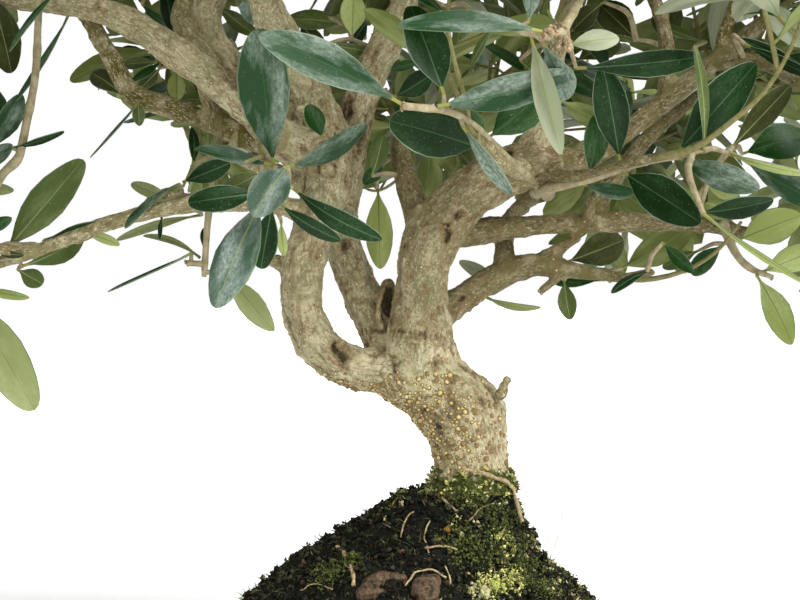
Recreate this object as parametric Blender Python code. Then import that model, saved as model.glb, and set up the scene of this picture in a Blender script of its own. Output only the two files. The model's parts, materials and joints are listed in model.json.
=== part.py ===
"""Olive bonsai standing on its bare root ball.

Frame: the origin is the middle of the root ball's flat underside, +X runs to
the right of the tree's front, +Y to its back and +Z up. Places and sizes are
in millimetres and become metres where a mesh is made.
"""

import math
import random
from collections import namedtuple

import bmesh
import bpy
import numpy as np
from mathutils import Quaternion, Vector, noise

MM = 0.001
GAP = 0.3                  # clear gap where one piece meets another
FOOT_HEIGHT = 100.0        # top of the root ball, where the trunk stands
FOOT_X = 24.0              # the trunk stands right of the root ball's middle

# Root ball: rings from the flat pad under the trunk down to the flat underside,
# each as (radius, height, shift of the ring's middle along X)
BALL_RINGS = [
    (20.0, FOOT_HEIGHT - GAP, FOOT_X),
    (25.0, 97.0, 23.5),
    (41.0, 87.0, 18.0),
    (58.0, 73.0, 11.0),
    (75.0, 55.0, 4.0),
    (86.0, 37.0, 0.0),
    (87.0, 21.0, 0.0),
    (82.0, 8.0, 0.0),
    (77.0, 0.0, 0.0),
]
BALL_DEPTH = 0.93          # front to back against side to side
BALL_SIDES = 24
BALL_LUMPS = 3.2           # height of the lumps in the soil
BALL_LUMP_SPACING = 24.0

# Limbs: the limb each one springs from, and its route as (x, y, z, radius).
# A route starts inside its parent, and the parent's shape is cut from it.
Limb = namedtuple("Limb", "parent route")
LIMBS = {
    # The trunk leans left above its elbow and forks there
    "trunk": Limb(None, [
        (24, 0, 100, 19.5), (24, 0, 106, 16.8), (24, 0, 113, 15.6), (22, 0, 124, 16.4),
        (18, 0, 134, 17.6), (9, 0, 142, 16.0), (-1, 0, 147, 13.6), (-11, 0, 150, 11.0)]),
    "left_limb_bend": Limb("trunk", [
        (-10, 0, 150, 10.2), (-27, -2, 153, 8.7), (-39, -4, 161, 9.4), (-46, -5, 173, 8.8),
        (-47, -6, 183, 8.3)]),
    "left_limb": Limb("left_limb_bend", [
        (-47, -6, 182, 8.1), (-47, -6, 193, 8.5), (-42, -4, 212, 8.6), (-37, 0, 231, 10.4),
        (-38, 3, 246, 10.6), (-44, 1, 268, 8.2)]),
    "right_trunk": Limb("trunk", [
        (4, 0, 142, 13.0), (2, -1, 161, 13.4), (3, -3, 183, 10.7), (4, -4, 196, 10.8),
        (9, -6, 210, 12.4)]),
    "middle_limb": Limb("trunk", [
        (-8, 4, 150, 7.6), (-16, 9, 169, 8.1), (-24, 14, 185, 7.9), (-32, 22, 210, 7.1),
        (-30, 24, 235, 7.4), (-27, 20, 254, 8.4), (-19, 16, 277, 7.2), (-5, 15, 303, 6.4)]),
    "right_limb": Limb("right_trunk", [
        (9, -6, 209, 11.2), (19, -8, 221, 10.2), (32, -12, 230, 10.0), (46, -16, 235, 9.0),
        (55, -16, 236, 6.6)]),
    # Boughs of the left limb
    "left_up_bough": Limb("left_limb", [
        (-43, 1, 266, 7.6), (-52, -8, 282, 8.0), (-58, -22, 293, 7.0), (-62, -42, 305, 5.6),
        (-64, -58, 313, 4.4)]),
    "left_outer_bough": Limb("left_limb", [
        (-38, 2, 243, 8.2), (-54, -3, 247, 7.5), (-84, -12, 271, 6.8), (-125, -15, 297, 5.4),
        (-169, -18, 303, 3.6)]),
    "left_green_bough": Limb("left_limb", [
        (-38, 4, 238, 7.0), (-59, 12, 246, 6.0), (-75, 15, 252, 5.4), (-97, 12, 260, 4.4),
        (-120, 8, 268, 4.4), (-129, 6, 283, 3.9), (-140, 6, 302, 3.4)]),
    "left_behind_bough": Limb("left_green_bough", [
        (-76, 15, 252, 3.2), (-86, 22, 266, 3.2), (-97, 28, 290, 3.3), (-108, 40, 316, 2.9)]),
    "curled_bough": Limb("left_limb", [
        (-42, 3, 258, 7.6), (-66, 12, 268, 7.3), (-82, 14, 283, 7.2), (-89, 10, 300, 6.8),
        (-82, 5, 316, 5.8)]),
    "left_low_bough": Limb("left_limb", [
        (-43, -4, 214, 4.2), (-56, -12, 219, 3.8), (-90, -20, 219, 3.4), (-124, -22, 211, 3.0),
        (-150, -23, 201, 2.7), (-172, -24, 194, 2.3)]),
    "left_back_bough": Limb("left_limb", [
        (-38, 0, 228, 5.0), (-50, 28, 232, 4.2), (-74, 72, 244, 3.4), (-92, 104, 252, 2.7)]),
    "front_left_bough": Limb("left_low_bough", [
        (-154, -23, 200, 2.6), (-168, -38, 201, 2.3), (-180, -64, 206, 1.9)]),
    "whorl_bough": Limb("left_outer_bough", [
        (-58, -4, 249, 3.2), (-62, -18, 246, 2.7), (-61, -34, 241, 2.2)]),
    # Boughs of the middle limb
    "centre_bough": Limb("middle_limb", [
        (-6, 15, 301, 6.0), (-1, 15, 322, 5.2), (1, 15, 338, 4.4)]),
    "back_top_bough": Limb("middle_limb", [
        (-19, 16, 277, 4.8), (-12, 34, 290, 4.0), (-6, 62, 308, 3.4), (-2, 88, 322, 2.8)]),
    # Boughs of the right trunk and limb
    "right_up_bough": Limb("right_trunk", [
        (6, -4, 204, 6.2), (0, 5, 220, 5.2), (-4, 14, 234, 4.7), (-6, 36, 252, 4.2),
        (-2, 68, 262, 3.6), (0, 100, 264, 2.9)]),
    "inner_bough": Limb("right_up_bough", [
        (-6, 34, 251, 3.4), (10, 44, 262, 2.9), (30, 54, 276, 2.3)]),
    "right_middle_bough": Limb("right_trunk", [
        (8, -5, 206, 5.8), (27, 0, 209, 5.0), (58, 4, 212, 4.2), (82, 6, 213, 4.7),
        (118, 12, 213, 3.4), (146, 18, 209, 2.7), (160, 20, 212, 2.2)]),
    "right_brown_bough": Limb("right_middle_bough", [
        (74, 6, 213, 3.5), (83, 12, 227, 3.1), (103, 26, 252, 3.2), (133, 44, 276, 2.6)]),
    "right_low_bough": Limb("right_trunk", [
        (2, -1, 166, 6.4), (20, 3, 181, 5.8), (45, 7, 194, 5.6), (64, 8, 193, 3.8),
        (80, 9, 191, 2.6)]),
    "right_back_bough": Limb("right_low_bough", [
        (38, 6, 192, 4.0), (39, 17, 206, 3.7), (46, 40, 220, 3.5), (64, 72, 234, 3.1),
        (84, 104, 244, 2.6)]),
    "right_green_bough": Limb("right_limb", [
        (50, -16, 235, 5.8), (65, -14, 237, 4.9), (80, -12, 244, 4.2), (118, -10, 274, 3.9),
        (144, -6, 295, 3.2)]),
    "right_fork_bough": Limb("right_green_bough", [
        (124, -9, 279, 3.3), (140, -18, 277, 2.9), (152, -28, 268, 2.5)]),
    "top_right_bough": Limb("right_green_bough", [
        (104, -10, 263, 3.4), (104, -6, 290, 3.1), (96, 0, 318, 2.7)]),
    "front_top_bough": Limb("right_limb", [
        (46, -15, 236, 5.6), (53, -19, 256, 4.8), (55, -32, 271, 4.0), (56, -52, 288, 3.0)]),
    "front_centre_bough": Limb("right_limb", [
        (45, -15, 233, 4.4), (34, -44, 233, 3.0), (24, -74, 238, 2.3)]),
    "front_right_bough": Limb("right_limb", [
        (53, -16, 235, 3.6), (60, -30, 229, 2.5), (76, -54, 231, 2.0), (88, -66, 233, 1.7)]),
}
RING_STEP = 2.8            # spacing of a limb's rings, in radii
RING_STEP_LEAST = 9.5
KNOBS = 0.06               # share by which the bark's swellings change a radius
KNOB_SPACING = 11.0
CUT_WITHIN = 1.5           # limbs closer than this are cut clear of each other

# Masses of leaves: the bough each one grows from, the middle of its space and
# its reach left and right, front and back, and up and down
Mass = namedtuple("Mass", "bough middle reach seed")
MASSES = {
    "left_low_leaves": Mass("left_low_bough", (-194, -16, 186), (58, 64, 60), 19),
    "left_outer_leaves": Mass("left_outer_bough", (-204, -14, 290), (60, 68, 62), 47),
    "left_top_leaves": Mass("left_green_bough", (-146, -6, 360), (66, 68, 64), 13),
    "left_behind_leaves": Mass("left_behind_bough", (-122, 92, 356), (72, 72, 58), 14),
    "left_back_leaves": Mass("left_back_bough", (-118, 140, 278), (76, 68, 56), 15),
    "whorl_leaves": Mass("whorl_bough", (-60, -66, 236), (56, 54, 66), 16),
    "front_left_leaves": Mass("front_left_bough", (-194, -108, 218), (60, 60, 58), 17),
    "curled_bough_leaves": Mass("curled_bough", (-80, 5, 368), (66, 66, 60), 18),
    "front_top_left_leaves": Mass("left_up_bough", (-80, -108, 352), (78, 70, 58), 19),
    "top_leaves": Mass("centre_bough", (-2, 10, 402), (76, 76, 66), 20),
    "back_top_leaves": Mass("back_top_bough", (-8, 128, 352), (78, 72, 64), 21),
    "back_leaves": Mass("right_up_bough", (-6, 152, 276), (76, 66, 62), 22),
    "inner_leaves": Mass("inner_bough", (52, 60, 296), (60, 50, 56), 23),
    "right_back_leaves": Mass("right_back_bough", (112, 148, 250), (78, 68, 66), 24),
    "right_brown_bough_leaves": Mass("right_brown_bough", (160, 78, 302), (72, 66, 66), 25),
    "right_middle_leaves": Mass("right_middle_bough", (186, 30, 228), (58, 62, 48), 32),
    "right_low_leaves": Mass("right_low_bough", (104, -14, 200), (56, 60, 36), 27),
    "right_outer_leaves": Mass("right_green_bough", (192, -5, 338), (60, 66, 64), 28),
    "right_fork_leaves": Mass("right_fork_bough", (186, -62, 252), (60, 64, 64), 29),
    "top_right_leaves": Mass("top_right_bough", (95, 5, 375), (72, 74, 64), 30),
    "front_top_leaves": Mass("front_top_bough", (52, -92, 340), (72, 70, 62), 31),
    "front_centre_leaves": Mass("front_centre_bough", (16, -96, 262), (62, 58, 48), 32),
    "front_right_leaves": Mass("front_right_bough", (114, -92, 256), (66, 60, 56), 33),
}
SPACE_MARGIN = 0.4         # kept clear on each side of the plane between two masses
LIMB_MARGIN = 1.6          # kept clear round every limb
STEM_CLEAR = 9.0           # but a stem's first stretch lies beside its own bough's tip
TWIG_MARGIN = 0.6          # kept clear between a blade and the twigs
BLADE_GAP = 4.5            # kept clear between the samples of two blades

# Twigs: three-sided and tapering, shorter by this share in each order
STEM_RADIUS = 1.7
TWIG_TAPER = 0.72
TWIG_TIP_RADIUS = 0.8
KNOT_SPACING = 19.0        # from one pair of leaves to the next
JOINT_SHARE = 0.5          # where a pair of leaves sits, as a share of that
TIP_SETBACK = 1.6          # the last pair sits this far below a twig's tip
TIP_CLOSE = 0.6            # and stands closer to it than the others
SHOOT_ANGLE = (42.0, 68.0)
SHOOT_SHARE = (0.55, 0.8)  # of its parent's length
TWIG_ORDERS = 1            # the stem bears side shoots, and those bear only leaves
TWIG_WANDER = 0.22
TURN_TO_MIDDLE = 0.2
TURN_TO_LIGHT = 0.1
UPWARD = Vector((0.0, 0.0, 1.0))

# Leaves: lance shaped, in opposite pairs that cross at right angles
LEAF_LENGTH = (40.0, 58.0)
LEAF_WIDTH = 0.4           # of its length
LEAF_THICKNESS = 1.0
LEAF_WIDEST = 0.47         # where it is widest, as a share of its length
LEAF_ARCH = 0.02           # how far it arches up, as a share of its length
LEAF_SINK = 0.2            # its root reaches this far past the twig's axis
LEAF_ROOT = 1.2            # the thickness of its root
LEAF_ANGLE = (42.0, 72.0)  # between the leaf and its twig
LEAF_TWIST = 0.5           # about its twig, in radians
LEAF_DROOP = 0.16
LEAF_TRIALS = 4
LEAF_SHRINK = 0.88         # of its length at each trial
LEAVES_MOST = 11           # in one mass, spread evenly through it
SAMPLES_ALONG = np.linspace(0.12, 1.0, 8)
SAMPLES_ACROSS = (-0.5, -0.25, 0.0, 0.25, 0.5)
BLADE_FROM = 2 * len(SAMPLES_ACROSS)   # the samples after these lie well out from the root

Leaf = namedtuple("Leaf", "root way up length twig")
Twig = namedtuple("Twig", "points order parent")
Bud = namedtuple("Bud", "root ahead side close twig")

YOUNG_RADIUS = 7.3         # a bough that starts thinner than this has young bark
BARK_COLOUR = (0.30, 0.235, 0.15)
YOUNG_BARK_COLOUR = (0.31, 0.30, 0.12)
SOIL_COLOUR = (0.075, 0.06, 0.035)
LEAF_COLOUR = (0.075, 0.125, 0.035)


def clear_scene():
    """Remove every object that the file opened with."""
    for item in list(bpy.data.objects):
        bpy.data.objects.remove(item, do_unlink=True)


def material(name, colour, roughness):
    """A plain Principled material."""
    made = bpy.data.materials.new(name)
    made.use_nodes = True
    shader = made.node_tree.nodes["Principled BSDF"]
    shader.inputs["Base Color"].default_value = (*colour, 1.0)
    shader.inputs["Roughness"].default_value = roughness
    shader.inputs["Metallic"].default_value = 0.0
    made.diffuse_color = (*colour, 1.0)
    return made


def add_object(name, form, skin=None):
    """Put a bmesh, made in millimetres, into the scene as an object in metres."""
    bmesh.ops.scale(form, vec=(MM, MM, MM), verts=form.verts)
    bmesh.ops.recalc_face_normals(form, faces=form.faces)
    mesh = bpy.data.meshes.new(name)
    form.to_mesh(mesh)
    form.free()
    item = bpy.data.objects.new(name, mesh)
    bpy.context.scene.collection.objects.link(item)
    if skin:
        mesh.materials.append(skin)
    return item


def smooth_route(route, step):
    """Points (x, y, z, radius) spaced along a smooth curve through a route's points."""
    knots = [np.array(point, dtype=float) for point in route]
    knots = [2 * knots[0] - knots[1]] + knots + [2 * knots[-1] - knots[-2]]
    curve = []
    for before, start, end, after in zip(knots, knots[1:], knots[2:], knots[3:]):
        pieces = max(1, round(np.linalg.norm(end[:3] - start[:3]) / step(start[3])))
        for piece in range(pieces):
            t = piece / pieces
            curve.append(0.5 * (2 * start + (end - before) * t
                                + (2 * before - 5 * start + 4 * end - after) * t ** 2
                                + (3 * start - before - 3 * end + after) * t ** 3))
    curve.append(knots[-2])
    return np.array(curve)


def limb_curve(limb):
    return smooth_route(limb.route, lambda radius: max(RING_STEP * radius, RING_STEP_LEAST))


def headings(curve):
    """Unit directions along a curve at each of its points."""
    ahead = np.gradient(curve[:, :3], axis=0)
    return [Vector(row).normalized() for row in ahead]


def knobbly(place, radius):
    """The radius of a limb at a place on its bark, with its swellings."""
    return radius * (1.0 + KNOBS * noise.noise(place / KNOB_SPACING))


def tube(curve, sides, knobs=False, swell=0.0):
    """A closed tapering tube along points (x, y, z, radius), as a bmesh."""
    form = bmesh.new()
    ways = headings(curve)
    side = ways[0].orthogonal().normalized()
    rings = []
    last = len(curve) - 1
    for index, (point, way) in enumerate(zip(curve, ways)):
        side = (side - way * side.dot(way)).normalized()
        cross = way.cross(side)
        middle = Vector(point[:3])
        if index in (0, last):
            middle += way * (swell if index else -swell)
        ring = []
        for corner in range(sides):
            turn = 2 * math.pi * corner / sides
            out = side * math.cos(turn) + cross * math.sin(turn)
            radius = knobbly(Vector(point[:3]) + out * point[3], point[3]) if knobs else point[3]
            ring.append(form.verts.new(middle + out * (radius + swell)))
        rings.append(ring)
    for lower, upper in zip(rings, rings[1:]):
        for corner in range(sides):
            beside = (corner + 1) % sides
            form.faces.new((lower[corner], lower[beside], upper[beside], upper[corner]))
    form.faces.new(rings[0][::-1])
    form.faces.new(rings[-1])
    return form


def limb_sides(limb):
    """More sides on a thicker limb."""
    thickest = max(point[3] for point in limb.route)
    return max(6, round(4 + 0.6 * thickest))


def apply_boolean(item, operation, cutter=None, collection=None):
    """Change an object's mesh by a Boolean with an object or a collection. The
    MANIFOLD solver takes over where EXACT leaves nothing."""
    for solver in ("EXACT", "MANIFOLD"):
        change = item.modifiers.new(operation, "BOOLEAN")
        change.operation = operation
        change.solver = solver
        if collection:
            change.operand_type = "COLLECTION"
            change.collection = collection
        else:
            change.object = cutter
        bpy.context.view_layer.update()
        graph = bpy.context.evaluated_depsgraph_get()
        mesh = bpy.data.meshes.new_from_object(item.evaluated_get(graph))
        item.modifiers.clear()
        if len(mesh.polygons):
            break
    item.data = mesh


def keep_largest(item):
    """Drop loose scraps and the walls of sealed hollows, so that one body is left."""
    form = bmesh.new()
    form.from_mesh(item.data)
    unseen = set(form.verts)
    groups = []
    while unseen:
        front = [unseen.pop()]
        group = set(front)
        while front:
            for edge in front.pop().link_edges:
                for vert in edge.verts:
                    if vert in unseen:
                        unseen.discard(vert)
                        group.add(vert)
                        front.append(vert)
        groups.append(group)
    groups.sort(key=len, reverse=True)
    for group in groups[1:]:
        bmesh.ops.delete(form, geom=list(group), context="VERTS")
    form.to_mesh(item.data)
    form.free()


def touches(curve, other):
    """Whether two limbs meet or come close to it."""
    points = [start + (end - start) * share
              for start, end in zip(curve, curve[1:]) for share in np.linspace(0.0, 1.0, 5)]
    points = np.array(points)
    return not Tubes([other]).clear(points[:, :3], points[:, 3:] * (1 + KNOBS) + CUT_WITHIN)


def make_limbs(skins):
    """Every limb, cut clear of those before it that it meets."""
    made = {}
    for name, limb in LIMBS.items():
        curve = limb_curve(limb)
        young = limb.route[0][3] < YOUNG_RADIUS
        item = add_object(name, tube(curve, limb_sides(limb), knobs=True),
                          skins["young_bark" if young else "bark"])
        for other, other_curve in made.items():
            if not touches(curve, other_curve):
                continue
            cutter = add_object("cutter", tube(other_curve, limb_sides(LIMBS[other]),
                                               knobs=True, swell=GAP + 0.1))
            apply_boolean(item, "DIFFERENCE", cutter=cutter)
            bpy.data.objects.remove(cutter, do_unlink=True)
        keep_largest(item)
        item.data.shade_smooth()
        item.data.set_sharp_from_angle(angle=math.radians(50))
        made[name] = curve
    return made


def make_root_ball(skin):
    """The lump of soil and roots, with a flat underside and a flat pad on top."""
    form = bmesh.new()
    rings = []
    last = len(BALL_RINGS) - 1
    for level, (radius, height, shift) in enumerate(BALL_RINGS):
        ring = []
        for corner in range(BALL_SIDES):
            turn = 2 * math.pi * corner / BALL_SIDES
            out = Vector((math.cos(turn), BALL_DEPTH * math.sin(turn), 0.0))
            place = Vector((shift, 0.0, height)) + out * radius
            if level > 1:
                lump = BALL_LUMPS * noise.noise(place / BALL_LUMP_SPACING)
                place += out * lump
                if level < last:
                    place.z += 0.6 * lump
            ring.append(form.verts.new(place))
        rings.append(ring)
    for upper, lower in zip(rings, rings[1:]):
        for corner in range(BALL_SIDES):
            beside = (corner + 1) % BALL_SIDES
            form.faces.new((upper[corner], upper[beside], lower[beside], lower[corner]))
    form.faces.new(rings[0])
    form.faces.new(rings[-1][::-1])
    item = add_object("root_ball", form, skin)
    item.data.shade_smooth()
    item.data.set_sharp_from_angle(angle=math.radians(50))


class Tubes:
    """Tapering tubes along curves of points (x, y, z, radius)."""

    def __init__(self, curves):
        self.starts = np.vstack([curve[:-1] for curve in curves])
        self.ends = np.vstack([curve[1:] for curve in curves])

    def clear(self, points, margin):
        """Whether every point keeps this margin from every tube."""
        runs = self.ends[:, :3] - self.starts[:, :3]
        along = points[:, None, :] - self.starts[None, :, :3]
        share = np.sum(along * runs, axis=2) / np.sum(runs ** 2, axis=1)
        share = np.clip(share, 0.0, 1.0)
        away = np.linalg.norm(along - share[:, :, None] * runs, axis=2)
        radii = self.starts[:, 3] + share * (self.ends[:, 3] - self.starts[:, 3])
        return bool(np.all(away > radii * (1 + KNOBS) + margin))


class Space:
    """The room that one mass keeps to: inside its reach, on its own side of the
    plane between it and every other mass, and clear of the limbs."""

    def __init__(self, name, limbs):
        mass = MASSES[name]
        self.middle = np.array(mass.middle, dtype=float)
        self.reach = np.array(mass.reach, dtype=float)
        others = [np.array(other.middle, dtype=float) - self.middle
                  for key, other in MASSES.items() if key != name]
        lengths = [np.linalg.norm(other) for other in others]
        self.normals = np.array([other / length for other, length in zip(others, lengths)])
        self.limits = np.array(lengths) / 2 - SPACE_MARGIN
        self.limbs = limbs

    def inside(self, points, foot=None):
        """Whether every point lies in the space, and clear of the limbs except
        close to the stem's foot."""
        offsets = points - self.middle
        if np.any(np.sum((offsets / self.reach) ** 2, axis=1) > 1.0):
            return False
        if np.any(offsets @ self.normals.T > self.limits):
            return False
        if foot is not None:
            points = points[np.linalg.norm(points - foot, axis=1) > STEM_CLEAR]
        return not len(points) or self.limbs.clear(points, LIMB_MARGIN)


def twig_curve(twig):
    """A twig's points with its radius, less in each order and toward its tip."""
    thick = max(STEM_RADIUS * TWIG_TAPER ** twig.order, TWIG_TIP_RADIUS + 0.1)
    last = len(twig.points) - 1
    return np.array([(*point, thick + (TWIG_TIP_RADIUS - thick) * index / last)
                     for index, point in enumerate(twig.points)])


def leaf_samples(leaf):
    """Points over a leaf's blade, to test where it lies."""
    across = leaf.way.cross(leaf.up)
    width = LEAF_WIDTH * leaf.length
    points = []
    for along in SAMPLES_ALONG:
        share = along / LEAF_WIDEST if along < LEAF_WIDEST else (1 - along) / (1 - LEAF_WIDEST)
        rise = LEAF_ARCH * leaf.length * share
        for side in SAMPLES_ACROSS:
            points.append(leaf.root + leaf.way * (along * leaf.length)
                          + across * (side * width * share) + leaf.up * rise)
    return np.array(points)


def walk(space, foot, way, length, rng, first_foot):
    """Knots along a shoot from its foot, stopping where it would leave its space."""
    points = [foot.copy()]
    steps = max(1, round(length / KNOT_SPACING))
    for step in range(steps):
        bend = Vector((rng.uniform(-1, 1), rng.uniform(-1, 1), rng.uniform(-1, 1)))
        inward = (Vector(space.middle) - points[-1]).normalized()
        turned = way.copy()
        if step:
            turned += TWIG_WANDER * bend + TURN_TO_MIDDLE * inward + TURN_TO_LIGHT * UPWARD
            turned.normalize()
        ahead = points[-1] + turned * (length / steps)
        checks = [points[-1].lerp(ahead, share) for share in (0.25, 0.5, 0.75, 1.0)]
        if not space.inside(np.array(checks), foot=first_foot):
            break
        points.append(ahead)
        way = turned
    return points


def pair_sides(way, roll):
    """The two opposite sides of a twig at a roll about its direction."""
    side = way.orthogonal().normalized()
    side.rotate(Quaternion(way, roll))
    return side, -side


def grow_twigs(space, foot, heading, rng):
    """A mass's twigs, stem first, and the buds that its leaves open from."""
    run = max(2.0 * (Vector(space.middle) - foot).length, 0.9 * max(space.reach))
    shoots = [(foot, heading, run, 0, None)]
    twigs, buds = [], []
    while shoots:
        start, way, length, order, parent = shoots.pop(0)
        points = walk(space, start, way, length, rng, np.array(foot))
        if len(points) < 2:
            continue
        here = len(twigs)
        twigs.append(Twig(points, order, parent))
        roll = rng.uniform(0, math.pi)
        for index in range(1, len(points)):
            ahead = (points[index] - points[index - 1]).normalized()
            roll += math.pi / 2
            joint = points[index - 1].lerp(points[index], JOINT_SHARE)
            last = index == len(points) - 1
            for side in pair_sides(ahead, roll):
                if order < TWIG_ORDERS and not last:
                    lean = math.radians(rng.uniform(*SHOOT_ANGLE))
                    shoot_way = ahead * math.cos(lean) + side * math.sin(lean)
                    share = rng.uniform(*SHOOT_SHARE)
                    shoots.append((joint, shoot_way, length * share, order + 1, here))
                else:
                    root = points[index] - ahead * TIP_SETBACK if last else joint
                    buds.append(Bud(root, ahead, side, TIP_CLOSE if last else 1.0, here))
    return twigs, buds


def open_leaf(bud, shrink, rng):
    """A leaf from a bud, at a chance angle and size."""
    angle = math.radians(rng.uniform(*LEAF_ANGLE)) * bud.close
    side = bud.side.copy()
    side.rotate(Quaternion(bud.ahead, rng.uniform(-LEAF_TWIST, LEAF_TWIST)))
    way = bud.ahead * math.cos(angle) + side * math.sin(angle)
    way.z -= LEAF_DROOP
    way.normalize()
    up = bud.ahead - way * bud.ahead.dot(way) + 0.5 * UPWARD
    up = (up - way * up.dot(way)).normalized()
    length = rng.uniform(*LEAF_LENGTH) * shrink
    return Leaf(bud.root - way * LEAF_SINK, way, up, length, bud.twig)


def grow(name, curves, limbs):
    """The twigs and leaves of one mass, branched by the rule from one stem. A leaf
    that would leave the space or touch wood is tried again, smaller."""
    mass = MASSES[name]
    rng = random.Random(mass.seed)
    space = Space(name, limbs)
    bough = curves[mass.bough]
    heading = headings(bough)[-1]
    foot = Vector(bough[-1][:3]) + heading * GAP
    twigs, buds = grow_twigs(space, foot, heading, rng)
    every_twig = Tubes([twig_curve(twig) for twig in twigs])
    leaves = []
    for bud in buds:
        for trial in range(LEAF_TRIALS):
            leaf = open_leaf(bud, LEAF_SHRINK ** trial, rng)
            samples = leaf_samples(leaf)
            if space.inside(samples) and every_twig.clear(samples[BLADE_FROM:], TWIG_MARGIN):
                leaves.append(leaf)
                break
    return twigs, leaves


def spread(leaves, most):
    """The leaves to keep: each next one is the farthest from those kept so far,
    and crosses none of them."""
    blades = [leaf_samples(leaf)[BLADE_FROM:] for leaf in leaves]
    middles = np.array([blade.mean(axis=0) for blade in blades])
    nearest = np.linalg.norm(middles - middles.mean(axis=0), axis=1)
    kept = []
    while len(kept) < most and nearest.max() > 0.0:
        index = int(np.argmax(nearest))
        gaps = [np.linalg.norm(blades[index][:, None] - blades[other][None], axis=2).min()
                for other in kept]
        if kept and min(gaps) < BLADE_GAP:
            nearest[index] = 0.0
            continue
        away = np.linalg.norm(middles - middles[index], axis=1)
        nearest = np.minimum(nearest, away) if kept else away
        kept.append(index)
    return [leaves[index] for index in kept]


def carriers(twigs, leaves):
    """The twigs that bear these leaves, and those that bear them, stem first."""
    needed = {0}
    for leaf in leaves:
        index = leaf.twig
        while index is not None:
            needed.add(index)
            index = twigs[index].parent
    return [twigs[index] for index in sorted(needed)]


def leaf_form(leaf):
    """A leaf of eight faces: flat above, keeled below along its midrib, and
    fixed by a root as thick as its twig."""
    form = bmesh.new()
    across = leaf.way.cross(leaf.up)
    half_root = LEAF_ROOT / 2
    half_width = LEAF_WIDTH * leaf.length / 2
    middle = leaf.root + leaf.way * (LEAF_WIDEST * leaf.length)
    middle += leaf.up * (LEAF_ARCH * leaf.length + LEAF_THICKNESS / 2)
    low_left = form.verts.new(leaf.root - across * half_root - leaf.up * half_root)
    low_right = form.verts.new(leaf.root + across * half_root - leaf.up * half_root)
    high = form.verts.new(leaf.root + leaf.up * half_root)
    left = form.verts.new(middle - across * half_width)
    right = form.verts.new(middle + across * half_width)
    tip = form.verts.new(leaf.root + leaf.way * leaf.length)
    for corners in ((low_left, low_right, high), (low_left, low_right, tip),
                    (low_left, left, high), (low_left, left, tip),
                    (low_right, right, high), (low_right, right, tip),
                    (left, right, high), (left, right, tip)):
        form.faces.new(corners)
    return form


def make_mass(name, curves, limbs, skin):
    """One mass of leaves, fused from its stem, twigs and leaves into one body."""
    twigs, leaves = grow(name, curves, limbs)
    leaves = spread(leaves, LEAVES_MOST)
    twigs = carriers(twigs, leaves)
    pieces = bpy.data.collections.new(name + "_pieces")
    bpy.context.scene.collection.children.link(pieces)
    forms = [tube(twig_curve(twig), 3) for twig in twigs[1:]] + [leaf_form(leaf) for leaf in leaves]
    for form in forms:
        piece = add_object("piece", form)
        bpy.context.scene.collection.objects.unlink(piece)
        pieces.objects.link(piece)
    item = add_object(name, tube(twig_curve(twigs[0]), 3), skin)
    apply_boolean(item, "UNION", collection=pieces)
    keep_largest(item)
    for piece in list(pieces.objects):
        bpy.data.objects.remove(piece, do_unlink=True)
    bpy.data.collections.remove(pieces)
    item.data.materials.clear()
    item.data.materials.append(skin)


def main():
    clear_scene()
    skins = {
        "bark": material("bark", BARK_COLOUR, 0.8),
        "young_bark": material("young_bark", YOUNG_BARK_COLOUR, 0.65),
        "soil": material("soil", SOIL_COLOUR, 0.95),
        "leaf": material("leaf", LEAF_COLOUR, 0.4),
    }
    make_root_ball(skins["soil"])
    curves = make_limbs(skins)
    limbs = Tubes(list(curves.values()))
    for name in MASSES:
        make_mass(name, curves, limbs, skins["leaf"])


main()
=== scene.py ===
"""The looks of an olive bonsai on its root ball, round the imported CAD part.

Tables and lengths are in millimetres, and each mesh is scaled to metres as it is
made. X runs to the right, Y away from the camera and Z up. The tables of limbs
and masses, and the rule by which twigs and leaves branch, are those of the
part's source; here the rule is carried on to finer shoots.
"""

import json
import math
import random
from collections import namedtuple

import bpy
import numpy as np
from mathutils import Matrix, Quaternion, Vector, kdtree
from mathutils.bvhtree import BVHTree

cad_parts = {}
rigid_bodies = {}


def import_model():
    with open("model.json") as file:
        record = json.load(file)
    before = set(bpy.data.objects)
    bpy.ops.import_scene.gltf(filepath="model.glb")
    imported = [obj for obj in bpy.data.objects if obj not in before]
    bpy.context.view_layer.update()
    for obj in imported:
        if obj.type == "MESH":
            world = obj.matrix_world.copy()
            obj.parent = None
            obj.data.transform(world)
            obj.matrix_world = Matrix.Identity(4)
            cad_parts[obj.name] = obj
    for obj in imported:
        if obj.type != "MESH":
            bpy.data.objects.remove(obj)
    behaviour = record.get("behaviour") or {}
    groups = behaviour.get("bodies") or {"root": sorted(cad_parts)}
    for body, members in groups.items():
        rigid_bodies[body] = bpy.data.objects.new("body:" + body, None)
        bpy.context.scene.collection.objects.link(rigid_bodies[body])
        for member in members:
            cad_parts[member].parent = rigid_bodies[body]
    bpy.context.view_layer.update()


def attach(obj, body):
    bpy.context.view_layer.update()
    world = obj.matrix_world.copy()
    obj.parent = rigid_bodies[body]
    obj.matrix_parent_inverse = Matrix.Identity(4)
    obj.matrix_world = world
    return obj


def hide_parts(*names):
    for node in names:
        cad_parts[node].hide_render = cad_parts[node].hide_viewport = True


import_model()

MM = 0.001
GAP = 0.3

# The photograph's frame, and the scale at the depth of the trunk's axis
PHOTO_WIDTH, PHOTO_HEIGHT = 800, 600
CAMERA_PLACE = Vector((-6.3, -600.0, 180.0))
SENSOR = 36.0
VIEW_WIDTH = 336.0         # what the frame's width takes in at the trunk's depth
MM_PER_PIXEL = VIEW_WIDTH / PHOTO_WIDTH

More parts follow.
